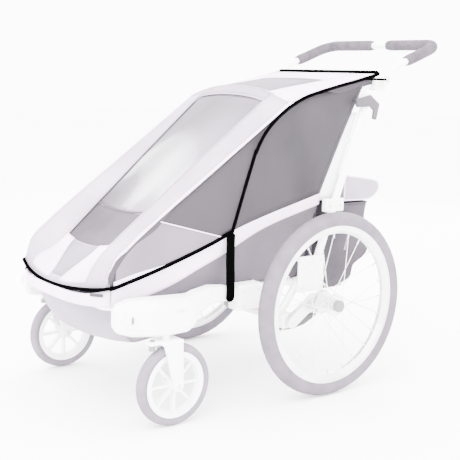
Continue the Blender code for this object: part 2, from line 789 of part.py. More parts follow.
def bar_path():
    """The handlebar's centre line from its left pivot, up, back and around to the right one."""
    half = [
        (BAR_X, *BAR_PIVOT),
        (BAR_X, 0.300, 0.868),
        (BAR_X, 0.370, 0.893),
        (BAR_X, *CROSSBAR),
    ]
    points = half + [(-x, y, z) for x, y, z in reversed(half)]
    return rounded(points, 0.055)


def handlebar():
    """The bent tube, with a flat eye at each pivot."""
    eyes = [drum(sign * 0.2158, sign * 0.2342, *BAR_PIVOT, 0.016, 16) for sign in (1, -1)]
    return union(swept(bar_path(), BAR_R), *eyes)


def grip():
    """One foam grip: half the crossbar, the bend and the upper part of the leg."""
    path = [p for p in bar_path() if p.x > 0.0 and p.y > 0.340]
    path = [Vector((BAR_X, 0.330, 0.8787))] + path + [Vector((0.030, *CROSSBAR))]
    return cut(swept(path, GRIP_R, 12), swept(bar_path(), BAR_R + GAP))


# --- Assembly -------------------------------------------------------------------------------------


def build_wheels(root):
    """Suspension arms, rear wheels and casters, left and right."""
    arms, wheels, buttons, steers, rollers, locks = [], [], [], [], [], []
    for side, sign in (("left", 1), ("right", -1)):
        hub = (sign * TRACK_X, 0, WHEEL_R)
        arms.append(Joint(f"suspension_{side}", (sign * 0.2455, *ARM_PIVOT), root))
        wheels.append(Joint(f"rear_wheel_spin_{side}", hub, arms[-1]))
        buttons.append(Joint(f"button_push_{side}", hub, wheels[-1]))
        steers.append(Joint(f"caster_steer_{side}", (sign * CASTER_X, STEER_Y, 0.2), root))
        roll = (sign * CASTER_X, CASTER_AXLE_Y, CASTER_R)
        rollers.append(Joint(f"caster_spin_{side}", roll, steers[-1]))
        locks.append(Joint(f"lock_pull_{side}", (sign * CASTER_X, STEER_Y, 0.2), steers[-1]))

    pair(swing_arm(), "swing_arm", BRIGHT_ALLOY, *arms)
    tread = tyre(TRACK_X, 0, WHEEL_R, WHEEL_R, TYRE_W, RIM_R + GAP, 48)
    pair(tread, "rear_tyre", GREY_RUBBER, *wheels)
    band = rim(TRACK_X, 0, WHEEL_R, RIM_R, RIM_DEPTH, 0.026, 48)
    pair(band, "rear_rim", BRIGHT_ALLOY, *wheels)
    pair(rear_hub(), "rear_hub_and_spokes", BRIGHT_ALLOY, *wheels)
    pair(axle_button(), "axle_button", GREY_PLASTIC, *buttons)

    pair(caster_fork(), "caster_fork", WHITE_PLASTIC, *steers)
    place = (CASTER_X, CASTER_AXLE_Y, CASTER_R)
    tread = tyre(*place, CASTER_R, CASTER_TYRE_W, CASTER_RIM_R + GAP, 32)
    pair(tread, "caster_tyre", GREY_RUBBER, *rollers)
    pair(caster_wheel(), "caster_wheel", WHITE_PLASTIC, *rollers)
    pair(caster_lock(), "caster_lock", GREY_PLASTIC, *locks)


def build_lower_frame(root):
    """Everything that stays with the floor of the cabin."""
    pair(side_rail(), "side_rail", WHITE_TUBE, root, root)
    pair(rear_leg(), "rear_leg", WHITE_TUBE, root, root)
    pair(caster_arm(), "caster_arm", WHITE_PLASTIC, root, root)
    pair(arm_clamp(), "arm_clamp", WHITE_PLASTIC, root, root)
    pair(leaf_spring(), "leaf_spring", GREY_PLASTIC, root, root)
    front = swept([(-0.1295, FRONT_TUBE_Y, RAIL_Z), (0.1295, FRONT_TUBE_Y, RAIL_Z)], TUBE_R)
    root.carry(front, "front_cross_tube", WHITE_TUBE)
    axle = swept([(-0.1795, *ARM_PIVOT), (0.1795, *ARM_PIVOT)], 0.012, 12)
    root.carry(axle, "axle_tube", WHITE_TUBE)
    pedal = Joint("brake_press", (PEDAL_X, *ARM_PIVOT), root)
    pedal.carry(brake_pedal(), "brake_pedal", GREY_PLASTIC)
    root.carry(floor_tub(), "floor_tub", GREY_FABRIC)
    root.carry(seat_pad(), "seat_pad", GREY_FABRIC)
    pair(lower_side(), "lower_side", GREY_FABRIC, root, root)
    pair(side_window(), "side_window", DARK_MESH, root, root)
    pair(side_strap(), "side_strap", BLACK_WEBBING, root, root)


def build_canopy(canopy):
    """The folding roof frame with its fabric, the lift-up front cover and the handlebar."""
    pair(canopy_tube(), "canopy_tube", WHITE_TUBE, canopy, canopy)
    pair(bar_knuckle(), "bar_knuckle", WHITE_PLASTIC, canopy, canopy)
    canopy.carry(roof_bow(), "roof_bow", WHITE_TUBE)
    rear = swept([(-0.1845, 0.246, 0.812), (0.1845, 0.246, 0.812)], 0.010)
    canopy.carry(rear, "roof_cross_tube", WHITE_TUBE)
    canopy.carry(roof_panel(), "roof_panel", PALE_FABRIC)

    cover = Joint("cover_lift", (0, *COVER_HINGE), canopy)
    cover.carry(front_cover(), "front_cover", PALE_FABRIC)
    cover.carry(front_window(), "front_window", CLEAR_FILM)

    bar = Joint("handlebar_tilt", (0, *BAR_PIVOT), canopy)
    bar.carry(handlebar(), "handlebar_tube", WHITE_TUBE)
    pair(grip(), "grip", GREY_FOAM, bar, bar)


def build_back_frame(back):
    """The uprights with the backrest, harness, bag and latches."""
    pair(upright(), "upright", WHITE_TUBE, back, back)
    y, z = back_frame_point(0.120, 0.0)
    back.carry(swept([(-0.2040, y, z), (0.2040, y, z)], 0.008), "back_cross_tube", WHITE_TUBE)
    back.carry(backrest_pad(), "backrest_pad", GREY_FABRIC)
    back.carry(harness(), "harness", BLACK_WEBBING)
    back.carry(cargo_bag(), "cargo_bag", GREY_FABRIC)
    lid = Joint("bag_lid_open", (0, *LID_HINGE), back)
    lid.carry(bag_lid(), "bag_lid", PALE_FABRIC)
    sides = (("left", 0.23), ("right", -0.23))
    latches = [Joint(f"latch_{side}", (x, *TOP_PIVOT), back) for side, x in sides]
    pair(latch_lever(), "latch_lever", GREY_PLASTIC, *latches)


def build():
    remove_all()
    root = Joint("trailer", (0, 0, 0))
    build_wheels(root)
    build_lower_frame(root)
    canopy = Joint("frame_fold", (0, *FRONT_PIVOT), root)
    build_canopy(canopy)
    back = Joint("back_fold", (0, *TOP_PIVOT), canopy)
    build_back_frame(back)


build()
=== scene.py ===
"""The looks of a child carrier in its stroller trim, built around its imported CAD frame.

Places are measured from the rear axle line, as in the CAD source: y = 0 is the axle, z = 0 the
ground, the front is towards -Y and the rider's left is +X. at() turns them into the row frame.
"""

import itertools
import math

import bmesh
import bpy
from mathutils import Matrix, Vector


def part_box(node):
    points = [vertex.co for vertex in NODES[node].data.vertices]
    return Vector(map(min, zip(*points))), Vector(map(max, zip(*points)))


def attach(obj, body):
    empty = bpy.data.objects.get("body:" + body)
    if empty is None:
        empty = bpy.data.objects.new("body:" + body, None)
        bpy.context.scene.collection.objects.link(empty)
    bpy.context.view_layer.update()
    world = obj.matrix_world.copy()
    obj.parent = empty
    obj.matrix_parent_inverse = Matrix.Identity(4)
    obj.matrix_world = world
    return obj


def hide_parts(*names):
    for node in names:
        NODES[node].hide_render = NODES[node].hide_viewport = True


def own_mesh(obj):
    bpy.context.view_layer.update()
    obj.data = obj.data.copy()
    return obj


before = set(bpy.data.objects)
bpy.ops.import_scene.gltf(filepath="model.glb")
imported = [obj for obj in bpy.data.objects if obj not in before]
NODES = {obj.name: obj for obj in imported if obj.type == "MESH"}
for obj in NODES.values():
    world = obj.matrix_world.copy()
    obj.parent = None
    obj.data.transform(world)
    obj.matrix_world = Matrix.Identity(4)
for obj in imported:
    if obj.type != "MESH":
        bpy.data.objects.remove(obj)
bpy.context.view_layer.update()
AXLE_Y = (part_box("rear_rim_left")[0].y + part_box("rear_rim_left")[1].y) / 2
SIDES = (("left", 1), ("right", -1))

# --- Driving dimensions, repeated from the CAD source ---

TRACK_X, WHEEL_R, RIM_R, TYRE_W = 0.313, 0.243, 0.206, 0.040
CASTER_X, CASTER_AXLE_Y, CASTER_R, CASTER_RIM_R, CASTER_TYRE_W = 0.271, -0.469, 0.100, 0.078, 0.030
SPOKES = 24
PANEL_X = 0.2028
TOP_PIVOT = (0.190, 0.770)
UPRIGHT_FOOT = (0.030, 0.335)
BAR_X, BAR_PIVOT, CROSSBAR = 0.225, (0.250, 0.825), (0.466, 0.930)
GRIP_R = 0.0155
HEM_Y, HEM_CORNER_Y, HEM_Z = -0.649, -0.617, 0.3155
COVER_TOP_Y, COVER_TOP_Z = -0.090, 0.797
ROOF_Y = (-0.0845, 0.242)
COVER_HALF_WIDTH = [(-0.617, 0.205), (-0.500, 0.207), (-0.300, 0.211), (-0.080, 0.217)]
COVER_EDGE_Z = [(-0.617, 0.333), (-0.605, 0.376), (-0.560, 0.423), (-0.500, 0.470)]
COVER_EDGE_Z += [(-0.320, 0.597), (-0.080, 0.766)]
ROOF_HALF_WIDTH = [(-0.085, 0.217), (0.060, 0.208), (0.242, 0.204)]
ROOF_EDGE_Z = [(-0.085, 0.763), (-0.036, 0.779), (0.057, 0.801), (0.154, 0.823), (0.242, 0.842)]
ROOF_MIDDLE_Z = [(-0.085, 0.799), (0.050, 0.815), (0.150, 0.828), (0.242, 0.842)]
BELLY_X, BELLY_CENTRE = 0.1705, (-0.490, 0.285)
BELT_TOP = [(-0.598, 0.331), (-0.468, 0.365), (-0.317, 0.413), (-0.236, 0.444), (0.042, 0.519)]
BELT_FOOT = [(-0.600, 0.287), (-0.508, 0.301), (-0.433, 0.321), (-0.347, 0.355), (-0.280, 0.381)]
BELT_FOOT += [(-0.159, 0.435), (0.042, 0.490)]
WINDOW_TOP = [(-0.597, 0.364), (-0.560, 0.410), (-0.500, 0.458), (-0.320, 0.584), (-0.110, 0.730)]
WINDOW_TOP += [(-0.036, 0.770), (0.057, 0.793), (0.120, 0.803), (0.186, 0.806)]
POCKET_TOP = [(-0.590, 0.372), (-0.560, 0.409), (-0.500, 0.456), (-0.470, 0.478)]
POCKET_CORNER, POCKET_TIP, POCKET_FOOT_Y = (-0.470, 0.478), (-0.286, 0.427), -0.590
ARM_FACE_X = [(-0.607, 0.232), (-0.598, 0.246), (-0.575, 0.263), (-0.530, 0.285), (-0.490, 0.298)]
ARM_FACE_X += [(-0.440, 0.295), (-0.418, 0.287)]
STRAP_Y, STRAP_WIDTH, STRAP_LENGTH = -0.258, 0.026, 0.170
WINDOW_V = (0.172, 0.955)  # the front window's foot and top, as shares of the way up the cover
CROSS_SEAM_V = 0.34
THREAD, STITCH = 0.0012, 0.0042  # the pitch of the threads and of the stitches
FINE, COARSE = 0.0004, 0.0005  # how deep the threads' relief is
SURROUND = 12.0  # brightness of the white studio around the object


def window_u(v):
    """The window's half width, as a share of the cover's: it widens towards the roof."""
    return 0.455 + 0.215 * v


# --- Places and curves ---


def at(x, y, z):
    """A point in the row frame from one measured from the axle line."""
    return Vector((x, y + AXLE_Y, z))


def spread(low, high, count):
    """Evenly spaced values, both ends among them."""
    return [low + (high - low) * i / (count - 1) for i in range(count)]


def grid(spot, across, along):
    """Rows of points: spot(a, b) for each a across, and a row for each b along."""
    return [[spot(a, b) for a in across] for b in along]


def mix(a, b, share):
    return a + (b - a) * share


def ease(t):
    """0 to 1 without a corner at either end."""
    t = min(1.0, max(0.0, t))
    return t * t * (3 - 2 * t)


def smooth(points, position):
    """The value at a position along (position, value) points, on a curve with no corners."""
    places = [p for p, _ in points]
    values = [v for _, v in points]
    slopes = [(values[i + 1] - values[i]) / (places[i + 1] - places[i]) for i in range(len(points) - 1)]
    tangents = [slopes[0]] + [(a + b) / 2 for a, b in zip(slopes, slopes[1:])] + [slopes[-1]]
    i = 0
    while i < len(slopes) - 1 and position > places[i + 1]:
        i += 1
    step = places[i + 1] - places[i]
    t = min(1.0, max(0.0, (position - places[i]) / step))
    return (
        (1 + 2 * t) * (1 - t) ** 2 * values[i]
        + t * (1 - t) ** 2 * step * tangents[i]
        + t * t * (3 - 2 * t) * values[i + 1]
        + t * t * (t - 1) * step * tangents[i + 1]
    )


def through(points, steps=6):
    """A smooth path through a few points."""
    points = [Vector(p) for p in points]
    ends = [2 * points[0] - points[1], *points, 2 * points[-1] - points[-2]]
    path = []
    for a, b, c, d in zip(ends, ends[1:], ends[2:], ends[3:]):
        for i in range(steps):
            t = i / steps
            path.append(
                0.5 * (2 * b + (c - a) * t + (2 * a - 5 * b + 4 * c - d) * t * t)
                + 0.5 * (3 * b - a - 3 * c + d) * t**3
            )
    path.append(points[-1])
    return path


def cover_point(u, v, lift=0.0):
    """The front cover's outer face: u from -1 to 1 across, v from 0 at the hem to 1 at the roof."""
    middle_y = mix(HEM_Y, COVER_TOP_Y, v)
    edge_y = mix(HEM_CORNER_Y, COVER_TOP_Y, v)
    share = abs(u) ** 2.2
    y = mix(middle_y, edge_y, share)
    z = mix(mix(HEM_Z, COVER_TOP_Z, v), smooth(COVER_EDGE_Z, edge_y), share)
    return at(u * smooth(COVER_HALF_WIDTH, edge_y), y, z) + lift * Vector((0, -0.60, 0.80))


def roof_point(u, v, lift=0.0):
    """The roof's outer face: u across, v from 0 at the front to 1 at the rear."""
    y = mix(*ROOF_Y, v)
    z = mix(smooth(ROOF_MIDDLE_Z, y), smooth(ROOF_EDGE_Z, y), abs(u) ** 2.2)
    return at(u * smooth(ROOF_HALF_WIDTH, y), y, z + lift)


def back_point(x, down, out):
    """A point on the backrest: down the uprights from the top pivot and out in front of them."""
    line = (Vector(UPRIGHT_FOOT) - Vector(TOP_PIVOT)).normalized()
    spot = Vector(TOP_PIVOT) + down * line + out * Vector((line.y, -line.x))
    return at(x, *spot)


def back_direction():
    """The way down the backrest, and the way out of its front."""
    down = (back_point(0, 0.4, 0) - back_point(0, 0.1, 0)).normalized()
    front = (back_point(0, 0.2, 0.1) - back_point(0, 0.2, 0)).normalized()
    return down, front


def rounded_square(turn, half_width, half_depth, power_x, power_y):
    """A point of a square with round corners, at a turn about its middle."""
    c, s = math.cos(turn), math.sin(turn)
    return math.copysign(abs(c) ** power_x, c) * half_width, math.copysign(abs(s) ** power_y, s) * half_depth


# --- Mesh tools ---


def new_object(name, bm, look, smooth_angle=35):
    """An object from a bmesh, with one look and soft shading up to an angle."""
    bmesh.ops.recalc_face_normals(bm, faces=bm.faces)
    mesh = bpy.data.meshes.new(name)
    bm.to_mesh(mesh)
    bm.free()
    mesh.materials.append(LOOKS[look])
    mesh.shade_smooth()
    mesh.set_sharp_from_angle(angle=math.radians(smooth_angle))
    thing = bpy.data.objects.new(name, mesh)
    bpy.context.scene.collection.objects.link(thing)
    return thing


def settle(thing, kind=None, **settings):
    """Applies a modifier of that kind, or the ones it has, so that the object's mesh is final."""
    if kind:
        step = thing.modifiers.new(kind, kind)
        for key, value in settings.items():
            setattr(step, key, value)
    graph = bpy.context.evaluated_depsgraph_get()
    mesh = bpy.data.meshes.new_from_object(thing.evaluated_get(graph))
    thing.modifiers.clear()
    thing.data = mesh
    return thing


def loft(name, rings, look, closed=False, caps=True, around=True, smooth_angle=35):
    """A skin through rings of the same number of points."""
    bm = bmesh.new()
    loops = [[bm.verts.new(point) for point in ring] for ring in rings]
    pairs = list(zip(loops, loops[1:])) + ([(loops[-1], loops[0])] if closed else [])
    count = len(loops[0])
    for low, high in pairs:
        for i in range(count if around else count - 1):
            j = (i + 1) % count
            bm.faces.new((low[i], low[j], high[j], high[i]))
    if caps and not closed and around:
        bm.faces.new(loops[0])
        bm.faces.new(list(reversed(loops[-1])))
    return new_object(name, bm, look, smooth_angle)


def cloth(name, rows, look, thickness, offset):
    """A sheet of fabric over rows of points, given its thickness."""
    thing = loft(name, rows, look, caps=False, around=False, smooth_angle=60)
    return settle(thing, "SOLIDIFY", thickness=thickness, offset=offset)


def section(points, i, across):
    """The direction along a path at a point, and two directions square to it."""
    before = points[max(i - 1, 0)]
    after = points[min(i + 1, len(points) - 1)]
    along = (after - before).normalized()
    across = (across - across.dot(along) * along).normalized()
    return along, across, along.cross(across)


def circle(middle, across, up, radius, sides):
    """Points round a middle, in the plane of two directions."""
    turns = [2 * math.pi * k / sides for k in range(sides)]
    return [middle + radius * (math.cos(t) * across + math.sin(t) * up) for t in turns]


def tube(name, points, radius, look, sides=12, caps=True):
    """A round bar along a path. radius may be a function of the share of the way along."""
    points = [Vector(p) for p in points]
    across = Vector((1, 0, 0))
    if abs((points[1] - points[0]).normalized().x) > 0.9:
        across = Vector((0, 0, 1))
    rings = []
    for i, point in enumerate(points):
        _, across, up = section(points, i, across)
        size = radius(i / (len(points) - 1)) if callable(radius) else radius
        rings.append(circle(point, across, up, size, sides))
    return loft(name, rings, look, caps=caps)


def ribbon(name, points, facing, width, thickness, look):
    """Flat webbing along a path, its face towards facing. width may depend on the way along."""
    points = [Vector(p) for p in points]
    rings = []
    for i, point in enumerate(points):
        _, up, side = section(points, i, facing)
        wide = width(i / (len(points) - 1)) if callable(width) else width
        half = wide / 2
        edge = thickness * 0.35
        profile = [(-half, 0), (-half + edge, thickness / 2), (half - edge, thickness / 2)]
        profile += [(half, 0), (half - edge, -thickness / 2), (-half + edge, -thickness / 2)]
        rings.append([point + s * side + h * up for s, h in profile])
    return loft(name, rings, look, smooth_angle=50)


def turned(name, profile, x, y, z, segments, look, smooth_angle=35):
    """A closed (radius, dx) profile turned about an axis along X; profile may depend on the turn."""
    rings = []
    for i in range(segments):
        turn = 2 * math.pi * i / segments
        shape = profile(i) if callable(profile) else profile
        rings.append([at(x + dx, y + r * math.cos(turn), z + r * math.sin(turn)) for r, dx in shape])
    return loft(name, rings, look, closed=True, smooth_angle=smooth_angle)


def rounded_block(name, low, high, look, radius=0.003):
    """A small moulded block with rounded edges, between two corners."""
    bm = bmesh.new()
    bmesh.ops.create_cube(bm, size=1.0)
    size = [abs(b - a) for a, b in zip(low, high)]
    centre = [(a + b) / 2 for a, b in zip(low, high)]
    bmesh.ops.scale(bm, vec=size, verts=bm.verts)
    bmesh.ops.bevel(bm, geom=bm.edges, offset=min(radius, min(size) * 0.45), segments=3, affect="EDGES")
    bmesh.ops.translate(bm, vec=at(*centre), verts=bm.verts)
    return new_object(name, bm, look)


def join(name, parts, look):
    """Several pieces made into one object."""
    bm = bmesh.new()
    for part in parts:
        bm.from_mesh(part.data)
    for part in parts:
        bpy.data.objects.remove(part, do_unlink=True)
    return new_object(name, bm, look, 40)


def mirrored(thing, name):
    """A copy of a piece on the other side of the object."""
    mesh = thing.data.copy()
    mesh.transform(Matrix.Scale(-1, 4, (1, 0, 0)))
    mesh.flip_normals()
    twin = bpy.data.objects.new(name, mesh)
    bpy.context.scene.collection.objects.link(twin)
    return twin


def place(piece, body, replaced=()):
    """Puts a piece on its body, in place of CAD nodes."""
    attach(piece, body)
    if replaced:
        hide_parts(*replaced)


def pair(thing, body, replaced=(), after=None):
    """Puts a left-hand piece and its mirror copy on their bodies. body may hold {side}."""
    stem = thing.name
    thing.name = f"{stem}_left"
    twin = mirrored(thing, f"{stem}_right")
    for piece, (side, _) in zip((thing, twin), SIDES):
        place(piece, body.format(side=side), [f"{name}_{side}" for name in replaced])
        if after:
            after(piece, side)


def sheet(name, rows, look, thickness, body, replaced=(), offset=-1.0):
    """A piece of cloth on its body."""
    piece = cloth(name, rows, look, thickness, offset)
    place(piece, body, replaced)


def side_sheets(
    stem, rows, look, thickness, body, replaced=(), offset=0.0, fold=None
):
    """A piece of cloth and its mirror copy. fold(piece, side) is then called on each of them."""
    def tell(part, side):
        if fold:
            fold(part, side)

    pair(cloth(stem, rows, look, thickness, offset), body, replaced, tell)


# --- Materials ---


class Look:
    """A procedural material: its shader, and the object's own coordinates to paint from."""

    def __init__(self, name, roughness, metallic=0.0):
        self.material = bpy.data.materials.new(name)
        self.material.use_nodes = True
        self.nodes = self.material.node_tree.nodes
        self.links = self.material.node_tree.links
        self.shader = self.nodes["Principled BSDF"]
        self.set(Roughness=roughness, Metallic=metallic)
        self.where = self.nodes.new("ShaderNodeTexCoord").outputs["Object"]

    def set(self, **sockets):
        """Plain numbers on the shader's own sockets, such as Sheen_Weight."""
        for name, value in sockets.items():
            self.shader.inputs[name.replace("_", " ")].default_value = value
        return self

    def node(self, kind, operation=None, *values, **named):
        """A new node, with its sockets set or linked in order or by name."""
        node = self.nodes.new("ShaderNode" + kind)
        if operation:
            node.operation = operation
        pairs = list(zip(node.inputs, values))
        pairs += [(node.inputs[name.replace("_", " ")], value) for name, value in named.items()]
        for socket, value in pairs:
            if isinstance(value, bpy.types.NodeSocket):
                self.links.new(value, socket)
            else:
                socket.default_value = value
        return node

    def maths(self, operation, *values):
        return self.node("Math", operation, *values).outputs[0]

    def plus(self, a, b, share=1.0):
        """a plus a share of b."""
        return self.maths("MULTIPLY_ADD", b, share, a)

    def waves(self, direction, pitch):
        """Waves of that pitch along a direction, from -1 to 1."""
        way = Vector(direction).normalized() * (2 * math.pi / pitch)
        return self.maths("SINE", self.node("VectorMath", "DOT_PRODUCT", self.where, way).outputs["Value"])

    def noise(self, scale, detail=3.0, stretch=(1, 1, 1)):
        """Cloudy noise with about scale features in a metre."""
        spot = self.node("Mapping", Vector=self.where, Scale=stretch).outputs["Vector"]
        return self.node("TexNoise", Vector=spot, Scale=scale, Detail=detail).outputs["Fac"]

    def glow(self, centre, tightness):
        """1 at a place in the row frame, falling off softly along each axis."""
        away = self.node("VectorMath", "SUBTRACT", self.where, centre).outputs[0]
        scaled = self.node("VectorMath", "MULTIPLY", away, tightness).outputs[0]
        far = self.node("VectorMath", "LENGTH", scaled).outputs["Value"]
        return self.maths("EXPONENT", self.maths("MULTIPLY", self.maths("MULTIPLY", far, far), -1.0))

    def colour(self, value, low, high, start=0.3, end=0.7):
        """A colour that goes from low to high as value goes from start to end."""
        node = self.node("ValToRGB", Fac=value)
        for element, position, colour in zip(node.color_ramp.elements, (start, end), (low, high)):
            element.position = position
            element.color = (*colour, 1)
        self.links.new(node.outputs["Color"], self.shader.inputs["Base Color"])

    def rough(self, value, low, high):
        """Roughness that goes from low to high over the noise."""
        node = self.node("MapRange", Value=value, To_Min=low, To_Max=high)
        self.links.new(node.outputs["Result"], self.shader.inputs["Roughness"])

    def bump(self, height, depth, strength=0.6):
        """Relief of a real depth, in metres."""
        node = self.node("Bump", Strength=strength, Distance=depth, Height=height)
        self.links.new(node.outputs["Normal"], self.shader.inputs["Normal"])
        return self


def shade(level, tint=(1.0, 0.85, 1.05)):
    """A grey with the fabric's slight violet tint."""
    return tuple(min(1.0, level * t) for t in tint)


def plain(level):
    """A grey with no tint."""
    return shade(level, (1.0, 1.0, 1.0))


def woven(name, low, high, depth, ripstop=0.0, painted_light_patch=None):
    """Fabric: two sets of threads, slow shading across the cloth, and perhaps a ripstop grid.

    The last argument, (place, tightness, amount), is a patch of painted light, where the cloth is paler as if
    more brightly lit."""
    look = Look(name, 0.85).set(Specular_IOR_Level=0.15)
    warp, weft = (1, 1, -1), (0, 1, 1)
    height = look.plus(look.waves(warp, THREAD), look.waves(weft, THREAD))
    if ripstop:
        ribs = look.maths("MAXIMUM", look.waves(warp, ripstop), look.waves(weft, ripstop))
        height = look.plus(height, look.maths("POWER", ribs, 24.0), 2.5)
    clouds = look.noise(7.0, 4.0)
    # A patch of painted light: the cloth is paler there, as if more light fell on it.
    if painted_light_patch:
        spot, tightness, amount = painted_light_patch
        clouds = look.plus(clouds, look.glow(spot, (tightness,) * 3), amount)
    fine = look.maths("SUBTRACT", look.noise(420.0, 2.0), 0.5)
    look.colour(look.plus(clouds, fine, 0.35), low, high)
    return look.bump(height, depth)


def make_looks():
    """Every finish on the object, by its name."""
    fabrics = {  # the darkest and palest shade, the relief, and the ripstop grid's pitch or 0
        "pale": (0.33, 0.47, FINE, 0.006),
        "white": (0.68, 0.88, FINE, 0.006),
        "roof": (0.09, 0.17, FINE, 0.006),
        "band": (0.24, 0.34, FINE, 0.006),
        "lid": (0.27, 0.38, FINE, 0.006),
        "bag": (0.046, 0.070, COARSE, 0.008),
        "side": (0.060, 0.092, COARSE, 0.008),
        "grey": (0.060, 0.092, COARSE, 0.008),
        "skirt": (0.035, 0.055, FINE, 0),
        # The hem tabs' dark grey, also used as painted shadow on the strip under the cover's border.
        "seal_and_shadow": (0.045, 0.065, FINE, 0),
        "apron": (0.17, 0.26, FINE, 0.006),
        "screen": (0.045, 0.080, FINE, 0),
        "inner": (0.10, 0.16, COARSE, 0.008),
        "belly": (0.24, 0.33, FINE, 0),
    }
    # Painted light: the roof's grey centre is paler towards its front, and the grey lower side is paler at
    # its front, as if more brightly lit there.
    painted_light_patch = {"roof": ((0.0, 0.0, 0.80), 9.0, 1.1), "side": ((0.205, -0.34, 0.33), 5.0, 0.9)}
    looks = {}
    for key, (low, high, depth, ripstop) in fabrics.items():
        looks[key] = woven(f"{key}_fabric", shade(low), shade(high), depth, ripstop, painted_light_patch.get(key))
    looks["bright"] = woven("bright_fabric", plain(0.88), plain(0.97), FINE)
    looks["mesh"] = mesh_look("dark_mesh", shade(0.0140), shade(0.033), 0.96, 0.40)
    looks["pale_mesh"] = mesh_look("pale_mesh", shade(0.10), shade(0.16), 0.94, 0.0)
    looks["film"] = film_look()
    looks["webbing"] = webbing_look("black_webbing", plain(0.0004), plain(0.0008), 0.0)
    looks["harness"] = webbing_look("harness_webbing", shade(0.03), shade(0.05), 0.3)
    looks["tube"] = paint_look("white_tube", plain(0.84), plain(0.93), 0.28)
    looks["plastic"] = moulded_look("white_plastic", plain(0.72), plain(0.84))
    looks["grey_plastic"] = moulded_look("grey_plastic", plain(0.10), plain(0.15))
    looks["latch"] = moulded_look("latch_plastic", shade(0.036), shade(0.056))
    looks["alloy"] = alloy_look()
    looks["rubber"] = rubber_look("grey_rubber", shade(0.085), shade(0.115))
    looks["caster_rubber"] = rubber_look("caster_rubber", shade(0.115), shade(0.15))
    looks["foam"] = foam_look()
    looks["thread"] = webbing_look("stitching", shade(0.30), shade(0.36), 0.2)
    looks["floor"] = floor_look()
    return {name: look.material for name, look in looks.items()}


def mesh_look(name, low, high, alpha, painted_sheen_ahead):
    """Fine knitted mesh with small holes, and a painted sheen that makes it a little paler towards the front.
    """
    look = Look(name, 0.55).set(Alpha=alpha, Specular_IOR_Level=0.15)
    holes = look.maths("MULTIPLY", look.waves((1, 1, -1), 0.0024), look.waves((0, 1, 1), 0.0024))
    clouds = look.noise(5.0, 4.0, (1.0, 1.0, 0.5))
    # Painted sheen: the mesh is paler in a soft band towards the front.
    clouds = look.plus(clouds, look.glow((0, -0.28, 0), (0, 5.0, 0)), painted_sheen_ahead)
    look.colour(look.plus(clouds, holes, 0.10), low, high)
    look.rough(clouds, 0.45, 0.65)
    return look.bump(holes, 0.0004)


def film_look():
    """Clear window film, a little milky, with the long soft waves of a stretched sheet, and painted
    reflections: paler streaks along the waves and a paler patch near the middle.
    """
    look = Look("clear_film", 0.12).set(Alpha=0.62, IOR=1.45, Specular_IOR_Level=0.16)
    waves = look.noise(4.5, 2.0, (1.0, 0.35, 0.35))
    # Painted highlight: a soft paler patch near the middle of the film.
    painted_highlight = look.glow((0.06, -0.25, 0.56), (9.0, 4.0, 4.0))
    # The colour follows the waves and that patch: painted reflection streaks and a painted highlight.
    value = look.plus(look.maths("MULTIPLY", waves, 0.6), painted_highlight, 0.5)
    look.colour(value, shade(0.045), shade(0.28), 0.24, 0.82)
    look.rough(look.noise(30.0), 0.08, 0.20)
    return look.bump(waves, 0.004, 0.35)


def webbing_look(name, low, high, shine):
    """Tightly woven webbing or cord."""
    look = Look(name, 0.9).set(Specular_IOR_Level=shine)
    look.colour(look.noise(300.0), low, high)
    return look.bump(look.plus(look.waves((0.2, 1, 1), 0.0016), look.waves((1, 1, -1), 0.0022)), 0.0003)


def paint_look(name, low, high, roughness):
    """Glossy powder coat on tube, with a fine orange-peel surface."""
    look = Look(name, roughness).set(Coat_Weight=0.2, Coat_Roughness=0.15)
    look.colour(look.noise(9.0), low, high)
    look.rough(look.noise(60.0), roughness - 0.06, roughness + 0.10)
    return look.bump(look.noise(900.0, 1.0), 0.0001, 0.4)


def moulded_look(name, low, high):
    """Moulded plastic with a fine spark-eroded grain."""
    look = Look(name, 0.45).set(Specular_IOR_Level=0.3)
    look.colour(look.noise(11.0, 4.0), low, high)
    look.rough(look.noise(140.0), 0.38, 0.56)
    return look.bump(look.noise(1400.0, 2.0), 0.00012, 0.5)


def alloy_look():
    """Bright polished alloy with fine turning lines."""
    look = Look("bright_alloy", 0.3, 0.55)
    look.colour(look.noise(14.0), plain(0.55), plain(0.75))
    look.rough(look.noise(500.0, 2.0, (12.0, 1.0, 1.0)), 0.22, 0.40)
    return look.bump(look.noise(700.0, 1.0, (10.0, 1.0, 1.0)), 0.00006, 0.4)


def rubber_look(name, low, high):
    """Grey rubber, dusty where it has worn."""
    look = Look(name, 0.85).set(Specular_IOR_Level=0.2)
    look.colour(look.noise(24.0, 5.0), low, high)
    look.rough(look.noise(70.0), 0.75, 0.95)
    return look.bump(look.noise(650.0, 3.0), 0.0003, 0.5)


def foam_look():
    """Closed-cell foam with fine pores."""
    look = Look("grey_foam", 0.95).set(Specular_IOR_Level=0.15)
    cells = look.node("TexVoronoi", Vector=look.where, Scale=900.0)
    look.colour(look.noise(40.0, 4.0), shade(0.046), shade(0.072))
    return look.bump(cells.outputs["Distance"], 0.0005, 0.7)


def floor_look():
    """The pale studio floor."""
    look = Look("floor", 0.9)
    look.colour(look.noise(2.0), plain(0.93), plain(0.95))
    return look


LOOKS = make_looks()

CAD_LOOKS = {  # the carried CAD nodes, by the start of their names
    "tube": "side_rail front_cross_tube axle_tube rear_leg canopy_tube roof_bow roof_cross_tube upright"
    " back_cross_tube handlebar_tube",
    "plastic": "bar_knuckle arm_clamp caster_fork caster_wheel caster_arm",
    "grey_plastic": "caster_lock leaf_spring axle_button brake_pedal",
    "alloy": "swing_arm rear_rim rear_hub_and_spokes",
    "latch": "latch_lever",
}


def dress_cad_nodes():
    """Gives each carried CAD node its finish."""
    for look, starts in CAD_LOOKS.items():
        for name, node in NODES.items():
            if name.startswith(tuple(starts.split())):
                node.data.materials.clear()
                node.data.materials.append(LOOKS[look])


# --- Soft goods: cover and roof ---


